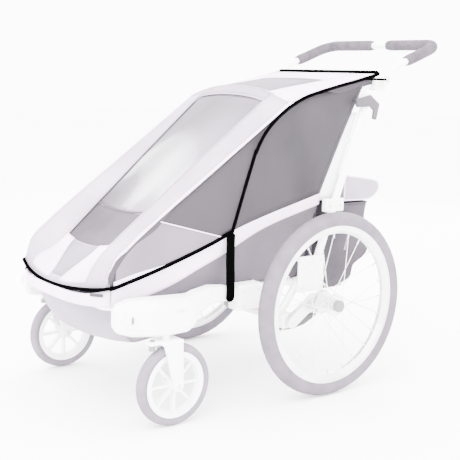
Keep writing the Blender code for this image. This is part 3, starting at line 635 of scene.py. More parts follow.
def cover_border():
    """The cover's fabric: two wide borders, the apron under the window and the band at the roof."""
    rows_v = [0.0, 0.03, 0.07, 0.12] + spread(*WINDOW_V, 22) + [1.0]
    side = 7  # columns of points from the window's edge to the cover's
    bm = bmesh.new()
    points = []
    for v in rows_v:
        border = spread(window_u(v), 1.0, side)
        columns = [-u for u in reversed(border)] + spread(-border[0], border[0], 13)[1:-1] + border
        points.append([bm.verts.new(cover_point(u, v)) for u in columns])
    for j, (low, high) in enumerate(zip(points, points[1:])):
        in_window = WINDOW_V[0] < (rows_v[j] + rows_v[j + 1]) / 2 < WINDOW_V[1]
        for i in range(len(low) - 1):
            if not in_window or i < side - 1 or i >= len(low) - side:
                bm.faces.new((low[i], low[i + 1], high[i + 1], high[i]))
    bmesh.ops.delete(bm, geom=[v for v in bm.verts if not v.link_faces], context="VERTS")
    piece = settle(new_object("cover_border", bm, "pale", 60), "SOLIDIFY", thickness=0.0022, offset=-1)
    place(piece, "cover", ["front_cover"])


def window_sheet(name, v_range, lift, sag, look, replaced):
    """A sheet set into the window, sagging a little between its edges."""
    rows = []
    for v in spread(*v_range, 26):
        half = window_u(v) + 0.02
        share = min(1.0, max(0.0, (v - WINDOW_V[0]) / (WINDOW_V[1] - WINDOW_V[0])))
        drop = sag * math.sin(math.pi * share)
        rows.append([cover_point(u * half, v, lift - drop * (1 - u * u) ** 2) for u in spread(-1.0, 1.0, 19)])
    sheet(name, rows, look, 0.0006, "cover", replaced)


def cover_window():
    """The clear film, the panel of mesh below it and the grey band above it."""
    film_v = (CROSS_SEAM_V - 0.006, WINDOW_V[1] + 0.008)
    window_sheet("window_film", film_v, -0.0026, 0.004, "film", ["front_window"])
    mesh_v = (WINDOW_V[0] - 0.008, CROSS_SEAM_V + 0.006)
    window_sheet("window_mesh", mesh_v, -0.0034, 0.0, "screen", ())
    band_v = spread(WINDOW_V[1] + 0.006, 1, 4)
    rows = grid(lambda u, v: cover_point(u * 0.67, v, 0.0011), spread(-1, 1, 17), band_v)
    sheet("window_top_band", rows, "band", 0.0010, "cover")


def cover_strip(name, v_range, edges, lift, look):
    """A band on the cover between two lines, each a function of the share of the way down it."""
    rows = []
    for t in spread(0, 1, 14):
        rows.append([cover_point(u, mix(*v_range, t), lift) for u in spread(*edges(t), 6)])
    sheet(name, rows, look, 0.0010, "cover")


def apron():
    """The two white bands that run down from the window to the hem, and the greyer cloth between."""
    for side, sign in SIDES:
        def edges(t):
            return sign * mix(0.30, 0.13, ease(t)), sign * mix(0.50, 0.66, ease(t) ** 2)

        cover_strip(f"apron_band_{side}", (0.176, 0.012), edges, 0.0012, "white")

    def middle(t):
        half = mix(0.31, 0.15, t)
        return -half, half

    cover_strip("apron_middle", (0.170, 0.030), middle, 0.0004, "apron")


def window_welt():
    """The rolled welt round the window, and the cross seam on it."""
    low, high = WINDOW_V
    up, over = spread(low, high, 24), spread(1, -1, 14)[1:-1]
    places = [(window_u(v), v) for v in up] + [(u * window_u(high), high) for u in over]
    places += [(-window_u(v), v) for v in reversed(up)] + [(-u * window_u(low), low) for u in over]
    path = [cover_point(u, v) for u, v in places]
    welt = tube("window_welt", path + [path[0]], 0.0013, "pale", 8, caps=False)
    place(welt, "cover")
    half = window_u(CROSS_SEAM_V)
    seam = [cover_point(u * half, CROSS_SEAM_V, -0.0012) for u in spread(-1, 1, 14)]
    tape = ribbon("window_cross_seam", seam, Vector((0, -0.6, 0.8)), 0.0035, 0.0010, "grey")
    place(tape, "cover")


def stitches(name, path, body):
    """A row of short stitches along a path."""
    lengths = [0.0] + list(itertools.accumulate((b - a).length for a, b in zip(path, path[1:])))
    parts = []
    k = 0
    for i in range(int(lengths[-1] / STITCH)):
        start = (i + 0.15) * STITCH
        while k < len(path) - 2 and lengths[k + 1] < start:
            k += 1
        way = (path[k + 1] - path[k]).normalized()
        first = mix(path[k], path[k + 1], (start - lengths[k]) / (lengths[k + 1] - lengths[k]))
        parts.append(tube("stitch", [first, first + way * STITCH * 0.6], 0.00035, "thread", 5))
    place(join(name, parts, "thread"), body)


def cover_seams():
    """Stitching beside the window's edges and along the cover's borders."""
    for side, sign in SIDES:
        for line, edge in (("inner", lambda v: window_u(v) + 0.028), ("outer", lambda v: 0.955)):
            path = [cover_point(sign * edge(v), v, 0.0003) for v in spread(0.03, 0.98, 60)]
            stitches(f"cover_stitch_{line}_{side}", path, "cover")


def cover_edges():
    """The rolled binding down each side of the cover, and a dark grey strip that turns in under its lower
    part, its darkness painted shadow under the border's fold.
    """
    for side, sign in SIDES:
        edge = [cover_point(sign, v, -0.0015) for v in spread(0.02, 1.0, 40)]
        binding = tube(f"cover_binding_{side}", edge, lambda t: 0.0032 * ease(0.3 + t * 8), "white", 10)
        place(binding, "cover")

        # The strip turns in under the border; its dark colour is painted shadow there.
        def shadow_strip_point(v, t):
            depth = 0.025 * (1 - ease((v - 0.12) / 0.34))
            return cover_point(sign, v) + Vector((-sign * 0.0015 * t, 0.35 * depth * t, -0.002 - depth * t))

        rows = grid(shadow_strip_point, spread(0.012, 0.44, 30), spread(0, 1, 5))
        sheet(f"cover_seal_{side}", rows, "seal_and_shadow", 0.0010, "cover", (), 0.0)


def hem_cord():
    """The black cord along the hem, round both front corners."""
    out = Vector((0, -0.0035, -0.0010))
    ends = [(0.2085, -0.592, 0.3345), (0.2080, -0.604, 0.3335)]
    path = [at(-x, y, z) for x, y, z in ends]
    path += [cover_point(u, 0.0) + out for u in spread(-1, 1, 25)]
    path += [at(*end) for end in reversed(ends)]
    place(tube("hem_cord", through(path, 3), 0.0042, "webbing"), "cover")


def roof():
    """The crowned roof: a grey centre between two pale bands, with its seams and side bindings."""
    rows = grid(roof_point, spread(-1, 1, 33), spread(-0.012, 1, 20))
    sheet("roof_fabric", rows, "white", 0.0012, "canopy", ["roof_panel"])

    def raised(u, v):
        return roof_point(u, v, 0.0009)

    rows = grid(raised, spread(-0.61, 0.61, 21), spread(-0.012, 0.60, 16))
    sheet("roof_centre", rows, "roof", 0.0010, "canopy")
    for side, sign in SIDES:
        seam = [roof_point(sign * 0.635, v, 0.0004) for v in spread(0.0, 0.98, 30)]
        stitches(f"roof_stitch_{side}", seam, "canopy")
        edge = [roof_point(sign, v, -0.0015) for v in spread(0, 1, 30)]
        place(tube(f"roof_binding_{side}", edge, 0.0032, "white", 10), "canopy")


def roof_skirt():
    """The grey band under the roof's edge, from the side curve back to the knuckle."""
    def skirt_point(y, drop):
        depth = 0.022 * ease((y - 0.02) / 0.09)
        x = smooth(ROOF_HALF_WIDTH, y) - 0.002 - 0.001 * drop
        return at(x, y, smooth(ROOF_EDGE_Z, y) - 0.003 - drop * depth)

    rows = grid(skirt_point, spread(0.020, 0.236, 22), spread(0.0, 1.0, 5))
    side_sheets("roof_skirt", rows, "skirt", 0.0016, "canopy")


def roof_lines():
    """The black binding over the roof's rear edge, down along both sides, and its short strap."""
    lower = [(0.2085, -0.188, 0.632), (0.2120, -0.178, 0.659), (0.2185, -0.162, 0.690)]
    lower.append((0.2205, -0.133, 0.719))
    upper = [(-0.095, 0.746), (-0.060, 0.764), (-0.019, 0.779), (0.076, 0.8020), (0.160, 0.8205)]
    upper.append((0.242, 0.8405))
    path = [at(*point) for point in lower]
    path += [at(smooth(ROOF_HALF_WIDTH, y) + 0.0035, y, z) for y, z in upper]
    line = tube("side_line_upper", through(path), 0.0045, "webbing", 10)
    pair(line, "canopy")
    corner = (smooth(ROOF_HALF_WIDTH, 0.242) + 0.0035, 0.2422, 0.8412)
    across = [at(-corner[0], *corner[1:])]
    across += [roof_point(u, 1.0, 0.0035) for u in spread(-0.985, 0.985, 30)]
    across.append(at(*corner))
    place(tube("roof_rear_line", across, 0.0046, "webbing", 10), "canopy")
    tip = [(0.2110, 0.184, 0.8255), (0.2240, 0.210, 0.8262), (0.2362, 0.236, 0.8262)]
    tip.append((0.2366, 0.2415, 0.8260))
    strap = tube("roof_tab", through([at(*point) for point in tip]), 0.0030, "webbing", 8)
    pair(strap, "canopy")


# --- Soft goods: sides, nose and straps ---


def crumple(piece, side):
    """Gives a window piece its own copy of its mesh."""
    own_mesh(piece)


def sink(piece, _side):
    """Gives a piece of the lower side its own copy of its mesh."""
    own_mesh(piece)


def side_window_point(s, t):
    """The side window: s from the front corner to the uprights, t from the belt up to the roof."""
    low_y = mix(-0.598, 0.042, s)
    top_y = mix(-0.597, 0.186, s)
    low = Vector((low_y, smooth(BELT_TOP, low_y)))
    spot = low.lerp(Vector((top_y, smooth(WINDOW_TOP, top_y))), t)
    lean = -0.003 * s * math.sin(math.pi * t)
    bulge = 0.0022 * math.sin(math.pi * t) * math.sin(math.pi * min(1.0, s * 1.1))
    return at(PANEL_X + bulge * (1 if spot.x < -0.22 else 0.3), spot.x + lean, spot.y)


def side_windows():
    """The dark mesh side windows, with their hem tape down the rear edge."""
    rows = grid(side_window_point, spread(0, 1, 40), spread(0, 1, 18))
    side_sheets(
        "side_mesh", rows, "mesh", 0.0008, "chassis", ["side_window"], fold=crumple
    )
    edge = [side_window_point(0.995, t) + Vector((0.0004, 0, 0)) for t in spread(0.0, 1.0, 24)]
    tape = ribbon("side_mesh_tape", edge, Vector((1, 0, 0)), 0.008, 0.0012, "skirt")
    pair(tape, "chassis", after=crumple)


def rear_gussets():
    """The cloth that turns in from each side's rear edge towards the bag."""
    def gusset_point(s, t):
        y = mix(mix(0.010, 0.036, t), 0.050, s)
        return at(mix(0.2022, 0.1740, ease(s)), y, mix(0.345, 0.488, t))

    rows = grid(gusset_point, spread(0, 1, 6), spread(0, 1, 8))
    side_sheets("rear_gusset", rows, "grey", 0.0010, "chassis", fold=crumple)


def rear_flaps():
    """The white cloth between each side window's rear edge and the upright behind it."""
    def flap_point(s, t):
        y = mix(mix(0.0300, 0.1500, t), mix(0.0935, 0.1760, t), s)
        return at(mix(0.2000, 0.1960, s), y, mix(0.500, 0.735, t))

    rows = grid(flap_point, spread(0, 1, 5), spread(0, 1, 12))
    side_sheets("rear_flap", rows, "bright", 0.0010, "back_frame")


def side_pockets():
    """The paler triangle of mesh in each front corner, with its white upper binding."""
    corner, tip = POCKET_CORNER, POCKET_TIP

    def pocket_point(s, t):
        y = mix(POCKET_FOOT_Y, tip[0], s)
        low = smooth(BELT_TOP, y) + 0.0005
        if y < corner[0]:
            high = smooth(POCKET_TOP, y)
        else:
            high = mix(corner[1], tip[1], (y - corner[0]) / (tip[0] - corner[0]))
        return at(PANEL_X + 0.0032, y, mix(low, max(high, low + 0.001), t))

    rows = grid(pocket_point, spread(0, 1, 20), spread(0, 1, 10))
    side_sheets("side_pocket", rows, "pale_mesh", 0.0006, "chassis", fold=crumple)
    line = [mix(at(PANEL_X + 0.0040, *corner), at(PANEL_X + 0.0040, *tip), t) for t in spread(0, 1, 12)]
    tape = ribbon("pocket_binding", line, Vector((1, 0, 0)), 0.0028, 0.0012, "white")
    pair(tape, "chassis", after=crumple)


def pocket_hems():
    """The white cloth along the foot of each front triangle, above the black line."""
    def hem_point(y, t):
        height = max(0.013 * (1 - ease((y + 0.560) / 0.160)), 0.0005)
        return at(PANEL_X + 0.0042, y, smooth(BELT_TOP, y) + 0.002 + t * height)

    rows = grid(hem_point, spread(-0.596, -0.400, 24), spread(0, 1, 4))
    side_sheets("pocket_hem", rows, "white", 0.0006, "chassis", fold=crumple)


def side_lines():
    """The black line up each side window, from the strap to the roof."""
    lower = [(-0.2570, 0.428), (-0.2360, 0.492), (-0.2192, 0.5433), (-0.1902, 0.627), (-0.1840, 0.641)]
    path = through([at(PANEL_X + 0.0045, y, z) for y, z in lower])
    line = tube("side_line_lower", path, 0.0043, "webbing", 10)
    pair(line, "chassis", after=crumple)


def belts():
    """The pale belt band along each side, the black line on its front part, and the grey side below."""
    def belt_top(y):
        return smooth(BELT_TOP, max(y, BELT_TOP[0][0]))

    def belt_point(y, t):
        crown = 0.0008 * math.sin(math.pi * t) * (1 if y < -0.22 else 0.2)
        return at(0.2040 + crown, y, mix(smooth(BELT_FOOT, y), belt_top(y), t))

    def lower_point(y, t):
        floor = 0.2985 if y < -0.025 else mix(0.2985, 0.480, ease((y + 0.025) / 0.061))
        sag = -0.0008 * math.sin(math.pi * t) * (1 + 0.6 * math.sin(22 * y))
        return at(0.2026 + sag, y, mix(floor, max(smooth(BELT_FOOT, y) + 0.004, floor + 0.001), t))

    rows = grid(belt_point, spread(-0.600, 0.042, 50), spread(0, 1, 8))
    side_sheets("belt", rows, "white", 0.0011, "chassis", offset=-1.0, fold=sink)
    path = [at(0.2072, y, belt_top(y) + 0.0005) for y in spread(-0.606, STRAP_Y, 30)]
    line = tube("belt_line", path, 0.0050, "webbing", 10)
    pair(line, "chassis", after=sink)
    rows = grid(lower_point, spread(-0.592, 0.036, 50), spread(0, 1, 12))
    side_sheets(
        "lower_fabric", rows, "side", 0.0010, "chassis", ["lower_side"],
        offset=-1.0, fold=sink,
    )


def nose_y(x):
    """How far forward the round nose is, at a distance from the middle."""
    return -0.6550 + 0.052 * (abs(x) / 0.203) ** 4


def belly_point(x, spot, share):
    """A point of the belly's skin: a spot of its middle profile, drawn back towards the sides."""
    out = (abs(x) / BELLY_X) ** 2.2
    ahead = spot.y - BELLY_CENTRE[0]
    if ahead < 0:
        ahead *= 1 - 0.58 * out
    rise = (spot.z - BELLY_CENTRE[1]) * (1 - 0.05 * out**3)
    return at(x, BELLY_CENTRE[0] + ahead * share, BELLY_CENTRE[1] + rise * share)


def nose():
    """The pale band round the nose, and the rounded belly that hangs below it."""
    def band_point(x, t):
        z = mix(0.2835 + 0.003 * (x / 0.2) ** 2, 0.3115 + 0.018 * (abs(x) / 0.2035) ** 6, t)
        return at(x, nose_y(x) - 0.0012 * math.sin(math.pi * t), z)

    rows = grid(band_point, spread(-0.2035, 0.2035, 49), spread(0, 1, 7))
    sheet("nose_band", rows, "white", 0.0024, "chassis")
    keel = [(-0.357, 0.268), (-0.359, 0.226), (-0.385, 0.203), (-0.450, 0.186), (-0.548, 0.180)]
    keel += [(-0.592, 0.196), (-0.622, 0.226), (-0.641, 0.256), (-0.6500, 0.292)]
    profile = through([Vector((0, y, z)) for y, z in keel], 4)
    skins = []
    for x in spread(-BELLY_X, BELLY_X, 35):
        skins.append([belly_point(x, p, 1.0) for p in profile] + [at(x, nose_y(x) + 0.005, 0.2870)])
    sheet("belly", skins, "belly", 0.0022, "chassis", ["floor_tub"])
    for side, sign in SIDES:
        ends = grid(lambda p, share: belly_point(sign * 0.1690, p, share), profile, spread(0.25, 0.99, 8))
        sheet(f"belly_side_{side}", ends, "belly", 0.0018, "chassis", offset=0.0)
        path = [at(sign * x, nose_y(x) - 0.0035, 0.3142) for x in spread(0.167, 0.193, 7)]
        tab = ribbon(f"hem_tab_{side}", path, Vector((sign * 0.5, -1, 0)), 0.0075, 0.0030, "seal_and_shadow")
        place(tab, "chassis")


def side_straps():
    """The black webbing from each belt line down over the arm's clamp, with its rounded ends."""
    line = [(0.2082, -0.2580, 0.4365), (0.2130, -0.2630, 0.4200), (0.2335, -0.2786, 0.3700)]
    line += [(0.2545, -0.2925, 0.3200), (0.2580, -0.2945, 0.3020), (0.2580, -0.2950, 0.2740)]
    path = through([at(*point) for point in line], 5)

    def width(share):
        end = min(1.0, min(share, 1 - share) * STRAP_LENGTH / (0.5 * STRAP_WIDTH))
        return STRAP_WIDTH * (0.35 + 0.65 * math.sqrt(1 - (1 - end) ** 2))

    strap = ribbon("side_strap_webbing", path, Vector((1, -0.05, 0.35)), width, 0.0028, "webbing")
    pair(strap, "chassis", ["side_strap"])


# --- Padding ---


def puffed(name, corner):
    """A cushion blown up by a short cloth simulation inside a box-like skin.

    corner(a, b, c) places a point of the cushion: a across, b along, c through it, each -1 to 1."""
    bm = bmesh.new()
    steps = (17, 17, 5)
    cap = 0.006  # how far the simulation may move a point
    # The skin is pinched thinner towards its edges, and its sides are drawn in between the corners.
    index = {}
    for spot in itertools.product(*map(range, steps)):
        if any(n in (0, count - 1) for n, count in zip(spot, steps)):
            a, b, c = (2 * n / (count - 1) - 1 for n, count in zip(spot, steps))
            pinch = 1 - 0.22 * max(abs(a), abs(b)) ** 6
            pull = 1 - 0.035 * (1 - b * b) * a * a
            index[spot] = bm.verts.new(corner(a * pull, b * (1 - 0.03 * (1 - a * a) * b * b), c * pinch))
    for fixed, first, second in ((2, 0, 1), (0, 1, 2), (1, 0, 2)):
        ranges = (range(steps[first] - 1), range(steps[second] - 1), (0, steps[fixed] - 1))
        for m, n, end in itertools.product(*ranges):
            loop = []
            for i, j in ((m, n), (m + 1, n), (m + 1, n + 1), (m, n + 1)):
                spot = {fixed: end, first: i, second: j}
                loop.append(index[spot[0], spot[1], spot[2]])
            bm.faces.new(loop)
    pad = settle(new_object(name, bm, "inner", 80), "REMESH", mode="VOXEL", voxel_size=0.006)
    rest = [v.co.copy() for v in pad.data.vertices]
    swell = pad.modifiers.new("swell", "CLOTH")
    swell.settings.use_pressure = True
    swell.settings.uniform_pressure_force = 4.0
    swell.settings.effector_weights.gravity = 0
    for number in range(1, 21):
        bpy.context.scene.frame_set(number)
    settle(pad)
    for vertex, start in zip(pad.data.vertices, rest):
        move = vertex.co - start
        if move.length > cap:
            vertex.co = start + move.normalized() * cap
    bpy.context.scene.frame_set(1)
    settle(pad, "SUBSURF", levels=1, render_levels=1)
    pad.data.materials.clear()
    pad.data.materials.append(LOOKS["inner"])
    pad.data.shade_smooth()
    return pad


def groove(gap):
    """How deep a sewn channel is at a distance from its middle, as a share of its depth."""
    return math.exp(-((gap / 0.006) ** 2))


def seat():
    """The padded seat: swollen, and sewn across twice."""
    def corner(a, b, c):
        return at(0.160 * a, -0.195 + 0.142 * b, 0.2765 + 0.0085 * c)

    pad = puffed("seat_cushion", corner)
    for vertex in pad.data.vertices:
        if vertex.co.z > 0.276:
            for line in (-0.24, -0.15):
                vertex.co.z -= 0.004 * groove(vertex.co.y - AXLE_Y - line)
    place(pad, "chassis", ["seat_pad"])


def backrest():
    """The padded back: swollen, with two upright channels and two across."""
    middle = back_point(0, 0.2525, 0.021)
    line, front = back_direction()

    def corner(a, b, c):
        return middle + Vector((0.155 * a, 0, 0)) + line * (0.188 * b) + front * (0.0065 * c - 0.001)

    pad = puffed("backrest_cushion", corner)
    for vertex in pad.data.vertices:
        if (vertex.co - middle).dot(front) > 0:
            down = (vertex.co - middle).dot(line)
            depth = groove(down - 0.06) + groove(down + 0.10) + groove(abs(vertex.co.x) - 0.095)
            vertex.co -= front * 0.0035 * min(1.0, depth)
    place(pad, "back_frame", ["backrest_pad"])


def straps():
    """The harness: two shoulder straps with chest pads, a buckle and a crotch strap."""
    _, front = back_direction()
    places = [(0.055, 0.078, 0.0345), (0.055, 0.180, 0.0352), (0.045, 0.250, 0.0352), (0.024, 0.305, 0.0352)]
    for side, sign in SIDES:
        path = through([back_point(sign * x, down, out) for x, down, out in places])
        strap = ribbon(f"shoulder_strap_{side}", path, front, 0.025, 0.0020, "harness")
        place(strap, "back_frame")
        path = [back_point(sign * 0.055, down, 0.0368) for down in spread(0.110, 0.200, 12)]
        pad = ribbon(f"shoulder_pad_{side}", path, front, 0.034, 0.0022, "skirt")
        place(pad, "back_frame")
    path = [back_point(0, down, 0.0350) for down in spread(0.325, 0.404, 8)]
    crotch = ribbon("crotch_strap", path, front, 0.025, 0.0020, "harness")
    place(crotch, "back_frame", ["harness"])
    rings = []
    for down, wide in ((0.290, 0.030), (0.296, 0.048), (0.310, 0.056), (0.324, 0.048), (0.330, 0.030)):
        ring = []
        for k in range(20):
            x, out = rounded_square(2 * math.pi * k / 20, wide / 2, 0.0028, 0.4, 0.6)
            ring.append(back_point(x, down, 0.0362) + front * out)
        rings.append(ring)
    place(loft("harness_buckle", rings, "grey_plastic"), "back_frame")


def bag():
    """The bag behind the backrest: one sagging shell with a bound rim."""
    low_z, high_z = 0.236, 0.480
    rear_line = [(0.236, 0.206), (0.250, 0.219), (0.285, 0.225), (0.306, 0.234), (0.318, 0.262)]
    rear_line += [(0.334, 0.283), (0.430, 0.262), (0.480, 0.267)]
    corners = 64
    rows = []
    for t in spread(0, 1, 28):
        z = mix(high_z, low_z + 0.004, t)
        sag = math.sin(math.pi * t)
        front = mix(0.142, 0.050, t) + 0.004 * sag
        rear = smooth(rear_line, z)
        round_off = 1 - 0.12 * ease((t - 0.86) / 0.14)
        half = 0.1765 * (1 - 0.015 * sag) * round_off
        depth = (rear - front) / 2 * round_off
        ring = []
        for k in range(corners):
            turn = 2 * math.pi * (k + 0.5) / corners
            crease = 0.0016 * math.sin(9 * turn + 6 * t) * sag
            x, y = rounded_square(turn, half + crease, depth + crease, 0.16, 0.20)
            ring.append(at(x, (front + rear) / 2 + y, z))
        rows.append(ring)
    foot = at(0, 0.130, low_z + 0.001)
    inner = [mix(p, foot, 0.5) - Vector((0, 0, 0.002)) for p in rows[-1]]
    floor = [inner, [mix(p, foot, 0.95) for p in inner]]
    shell = loft("bag_shell", rows + floor, "bag", caps=False, smooth_angle=60)
    settle(shell, "SOLIDIFY", thickness=0.0016, offset=-1)
    place(shell, "back_frame", ["cargo_bag"])
    rim = tube("bag_rim", rows[0] + [rows[0][0]], 0.0026, "skirt", 8, caps=False)
    place(rim, "back_frame")
    for part in (shell, rim):
        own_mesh(part)


def lid():
    """The padded lid: its top crowned, its rear turned down, piped at both ends."""
    outline = [(0.163, 0.488), (0.225, 0.487), (0.273, 0.489), (0.303, 0.508), (0.3075, 0.530)]
    outline += [(0.291, 0.5425), (0.235, 0.552), (0.177, 0.5595), (0.163, 0.553)]
    middle = Vector((0, 0.230, 0.522))
    loop = through([Vector((0, y, z)) for y, z in outline + [outline[0]]], 4)[:-1]

    def ring(x, puff):
        return [at(x, *(middle + (p - middle) * puff)[1:]) for p in loop]

    rings = []
    for x in spread(-1, 1, 41):
        channels = abs(math.sin(3 * math.pi * x / 2)) ** 0.5
        rings.append(ring(0.1745 * x, 1.015 - 0.085 * abs(x) ** 8 - 0.006 * channels))
    piece = loft("lid_cushion", rings, "lid", smooth_angle=50)
    place(piece, "lid", ["bag_lid"])
    for side, sign in SIDES:
        path = ring(sign * 0.1735, 0.935)
        piping = tube(f"lid_piping_{side}", path + [path[0]], 0.0022, "white", 8, caps=False)
        place(piping, "lid")


# --- Handlebar ---


def rounded(points, radius, steps=10):
    """The same path with each inner corner turned into an arc of the given radius."""
    path = [points[0]]
    for a, b, c in zip(points, points[1:], points[2:]):
        into = (a - b).normalized()
        out = (c - b).normalized()
        half = into.angle(out) / 2
        reach = min(radius / math.tan(half), 0.45 * (a - b).length, 0.45 * (c - b).length)
        centre = b + (into + out).normalized() * (reach / math.cos(half))
        first = b + into * reach - centre
        last = b + out * reach - centre
        for i in range(steps + 1):
            path.append(centre + first.length * first.slerp(last, i / steps))
    path.append(points[-1])
    return path


def grips():
    """The foam grips round the bend of the bar, their ends rolled in."""
    half = [at(BAR_X, 0.300, 0.868), at(BAR_X, 0.370, 0.893), at(BAR_X, *CROSSBAR), at(0.030, *CROSSBAR)]
    path = [p for p in rounded(half, 0.055) if p.y - AXLE_Y > 0.338]
    path = [at(BAR_X, 0.330, 0.8787)] + path

    def size(share):
        return GRIP_R * (0.86 + 0.14 * min(1.0, min(share, 1 - share) / 0.03))

    points = []
    for a, b in zip(path, path[1:]):
        count = max(1, int((b - a).length / 0.006))
        points += [mix(a, b, i / count) for i in range(count)]
    grip = tube("foam_grip", points + [path[-1]], size, "foam", 24)
    pair(grip, "handlebar", ["grip"], lambda part, side: part)


# --- Wheels ---


def tyre_profile(radius, width, inner, raised):
    """One slice of a tyre, from bead to bead, its tread blocks raised or not."""
    middle = (radius + inner) / 2
    half = width / 2
    profile = [(inner, half * 0.60), (inner + 0.003, half * 0.70)]
    for i in range(21):
        turn = math.pi * i / 20
        tread = ease((math.sin(turn) - 0.62) / 0.08)
        step = -0.0014 * tread * (1 - raised(i))
        line = 0.0006 if i in (4, 16) else 0.0
        reach = radius - 0.0002 - middle
        profile.append((middle + (reach + step + line) * math.sin(turn), (half + line) * math.cos(turn)))
    return profile + [(inner + 0.003, -half * 0.70), (inner, -half * 0.60)]


def tyre(stem, spot, radius, width, inner, segments, look, body, replaced):
    """A tyre with a ribbed centre and staggered shoulder blocks, on each side's wheel."""
    crown, rib, repeat = 10, 2, 6  # the profile's middle point, the rib's half width, slices in a block

    def profile(i):
        def raised(k):
            if k == crown:
                return 1.0
            if abs(k - crown) <= rib:
                return 0.0 if i % repeat < 1 else 1.0
            shift = 0 if k < crown else repeat // 2
            return 0.0 if (i + shift) % repeat < 2 else 1.0

        return tyre_profile(radius, width, inner + 0.0005, raised)

    pair(turned(stem, profile, *spot, segments, look, 50), body, [replaced])


def rim_lips(stem, ring, spot, segments, look, body):
    """The turned lips on both faces of a rim, on each side's wheel."""
    faces = [turned("lip", [(r, way * dx) for r, dx in ring], *spot, segments, look) for way in (1, -1)]
    pair(join(stem, faces, look), body)


def rear_wheels():
    """Detailed tyres, spoke nipples, valve stems and rim lips."""
    body = "rear_wheel_{side}"
    hub = (TRACK_X, 0, WHEEL_R)
    tyre("rear_tread", hub, WHEEL_R, TYRE_W, RIM_R, 288, "rubber", body, "rear_tyre")
    parts = []
    for i in range(SPOKES):
        turn = 2 * math.pi * i / SPOKES
        flange = (0.284, 0.328)[i % 2]
        way = Vector((0, math.cos(turn), math.sin(turn)))
        foot = at(TRACK_X + 0.12 * (flange - TRACK_X), 0, WHEEL_R) + way * 0.1745
        parts.append(tube("nipple", [foot, foot + way * 0.0135], 0.0021, "alloy", 8))
    pair(join("spoke_nipples", parts, "alloy"), body)
    valve_turn = 1.31  # radians from the rear, towards the top
    way = Vector((0, math.cos(valve_turn), math.sin(valve_turn)))
    foot = at(*hub) + way * 0.146
    sizes = (0.0030, 0.0030, 0.0024, 0.0026, 0.0026)
    path = [foot + way * out for out in (0, 0.008, 0.0085, 0.012, 0.044)]
    stem = tube("valve_stem", path, lambda t: sizes[round(t * 4)], "grey_plastic", 10)
    pair(stem, body)
    lip = [(0.2055, 0.0150), (0.2085, 0.0142), (0.2085, 0.0128), (0.2040, 0.0128), (0.2040, 0.0140)]
    rim_lips("rim_lips", lip, hub, 96, "alloy", body)


def caster_wheels():
    """The casters' tyres, rim lips and axle bolts."""
    hub = (CASTER_X, CASTER_AXLE_Y, CASTER_R)
    body = "caster_roll_{side}"
    tyre(
        "caster_tread", hub, CASTER_R, CASTER_TYRE_W, CASTER_RIM_R, 144, "caster_rubber", body, "caster_tyre"
    )
    lip = [(0.0790, 0.0125), (0.0805, 0.0118), (0.0800, 0.0105), (0.0760, 0.0105), (0.0760, 0.0118)]
    rim_lips("caster_rim_lips", lip, hub, 64, "plastic", body)
    ends = [bolt(CASTER_X + way * 0.0255, CASTER_AXLE_Y, CASTER_R, (way, 0, 0), 0.0062) for way in (1, -1)]
    bolts("caster_bolts", ends, "caster_turn_{side}")


def bolt(x, y, z, facing, radius, name="bolt"):
    """A domed socket-head bolt, its head out along facing."""
    way = Vector(facing).normalized()
    foot = at(x, y, z) - way * 0.0005
    shape = ((0.0, 1.0), (0.0018, 1.0), (0.0030, 0.82), (0.0034, 0.55), (0.0034, 0.50), (0.0018, 0.45))
    across = Vector((0, 0, 1)) if abs(way.z) < 0.9 else Vector((1, 0, 0))
    across = (across - across.dot(way) * way).normalized()
    up = way.cross(across)
    rings = [circle(foot + way * out, across, up, radius * share, 24) for out, share in shape]
    return loft(name, rings, "alloy")


def bolts(stem, parts, body):
    """Several bolts as one piece, on each side."""
    pair(join(stem, parts, "alloy"), body)


# --- Small fittings ---


def arm_fittings():
    """Screws, ribs and the slot on the moulded caster arms, and the clamps' bolts."""
    ribs = []
    for i, y in enumerate(spread(-0.375, -0.285, 6)):
        share = i / 5
        x = mix(0.2455, 0.2335, share)
        low = (x + 0.012, y - 0.0012, mix(0.280, 0.278, share))
        high = (x + mix(0.0225, 0.0180, share), y + 0.0012, mix(0.309, 0.306, share))
        ribs.append(rounded_block("rib", low, high, "plastic", 0.0010))
    pair(join("arm_ribs", ribs, "plastic"), "chassis")
    out, up = (1, 0, 0), (0, 0, 1)
    screws = [bolt(0.2975, y, 0.283, out, 0.0030) for y in (-0.478, -0.466)]
    screws.append(bolt(0.2565, -0.440, 0.3085, up, 0.0045))
    screws += [bolt(0.2485, y, z, out, 0.0038) for y in (-0.245, -0.198) for z in (0.256, 0.295)]
    screws += [bolt(x, y, 0.308, up, 0.0034) for x in (0.220, 0.238) for y in (-0.250, -0.192)]
    bolts("arm_screws", screws, "chassis")
    plate = []
    stations = ((-0.585, 0.243, 0.283), (-0.560, 0.240, 0.286), (-0.500, 0.239, 0.288))
    for y, z0, z1 in (*stations, (-0.440, 0.242, 0.287), (-0.424, 0.248, 0.284)):
        x = smooth(ARM_FACE_X, y)
        corners = ((-0.004, z0), (0.0016, z0 + 0.003), (0.0016, z1 - 0.003), (-0.004, z1))
        plate.append([at(x + dx, y, z) for dx, z in corners])
    pair(loft("arm_plate", plate, "plastic"), "chassis")
    cap = [(0.0, 0.0), (0.0150, 0.0), (0.0150, 0.0020), (0.0120, 0.0034), (0.0, 0.0040)]
    disc = turned("arm_cap", cap, 0.2625, -0.586, 0.264, 32, "plastic")
    pair(disc, "chassis")
    corners = (0.2700, -0.5835, 0.258), (0.2560, -0.5780, 0.276)
    slot = rounded_block("arm_slot", *corners, "grey_plastic", 0.002)
    pair(slot, "chassis")


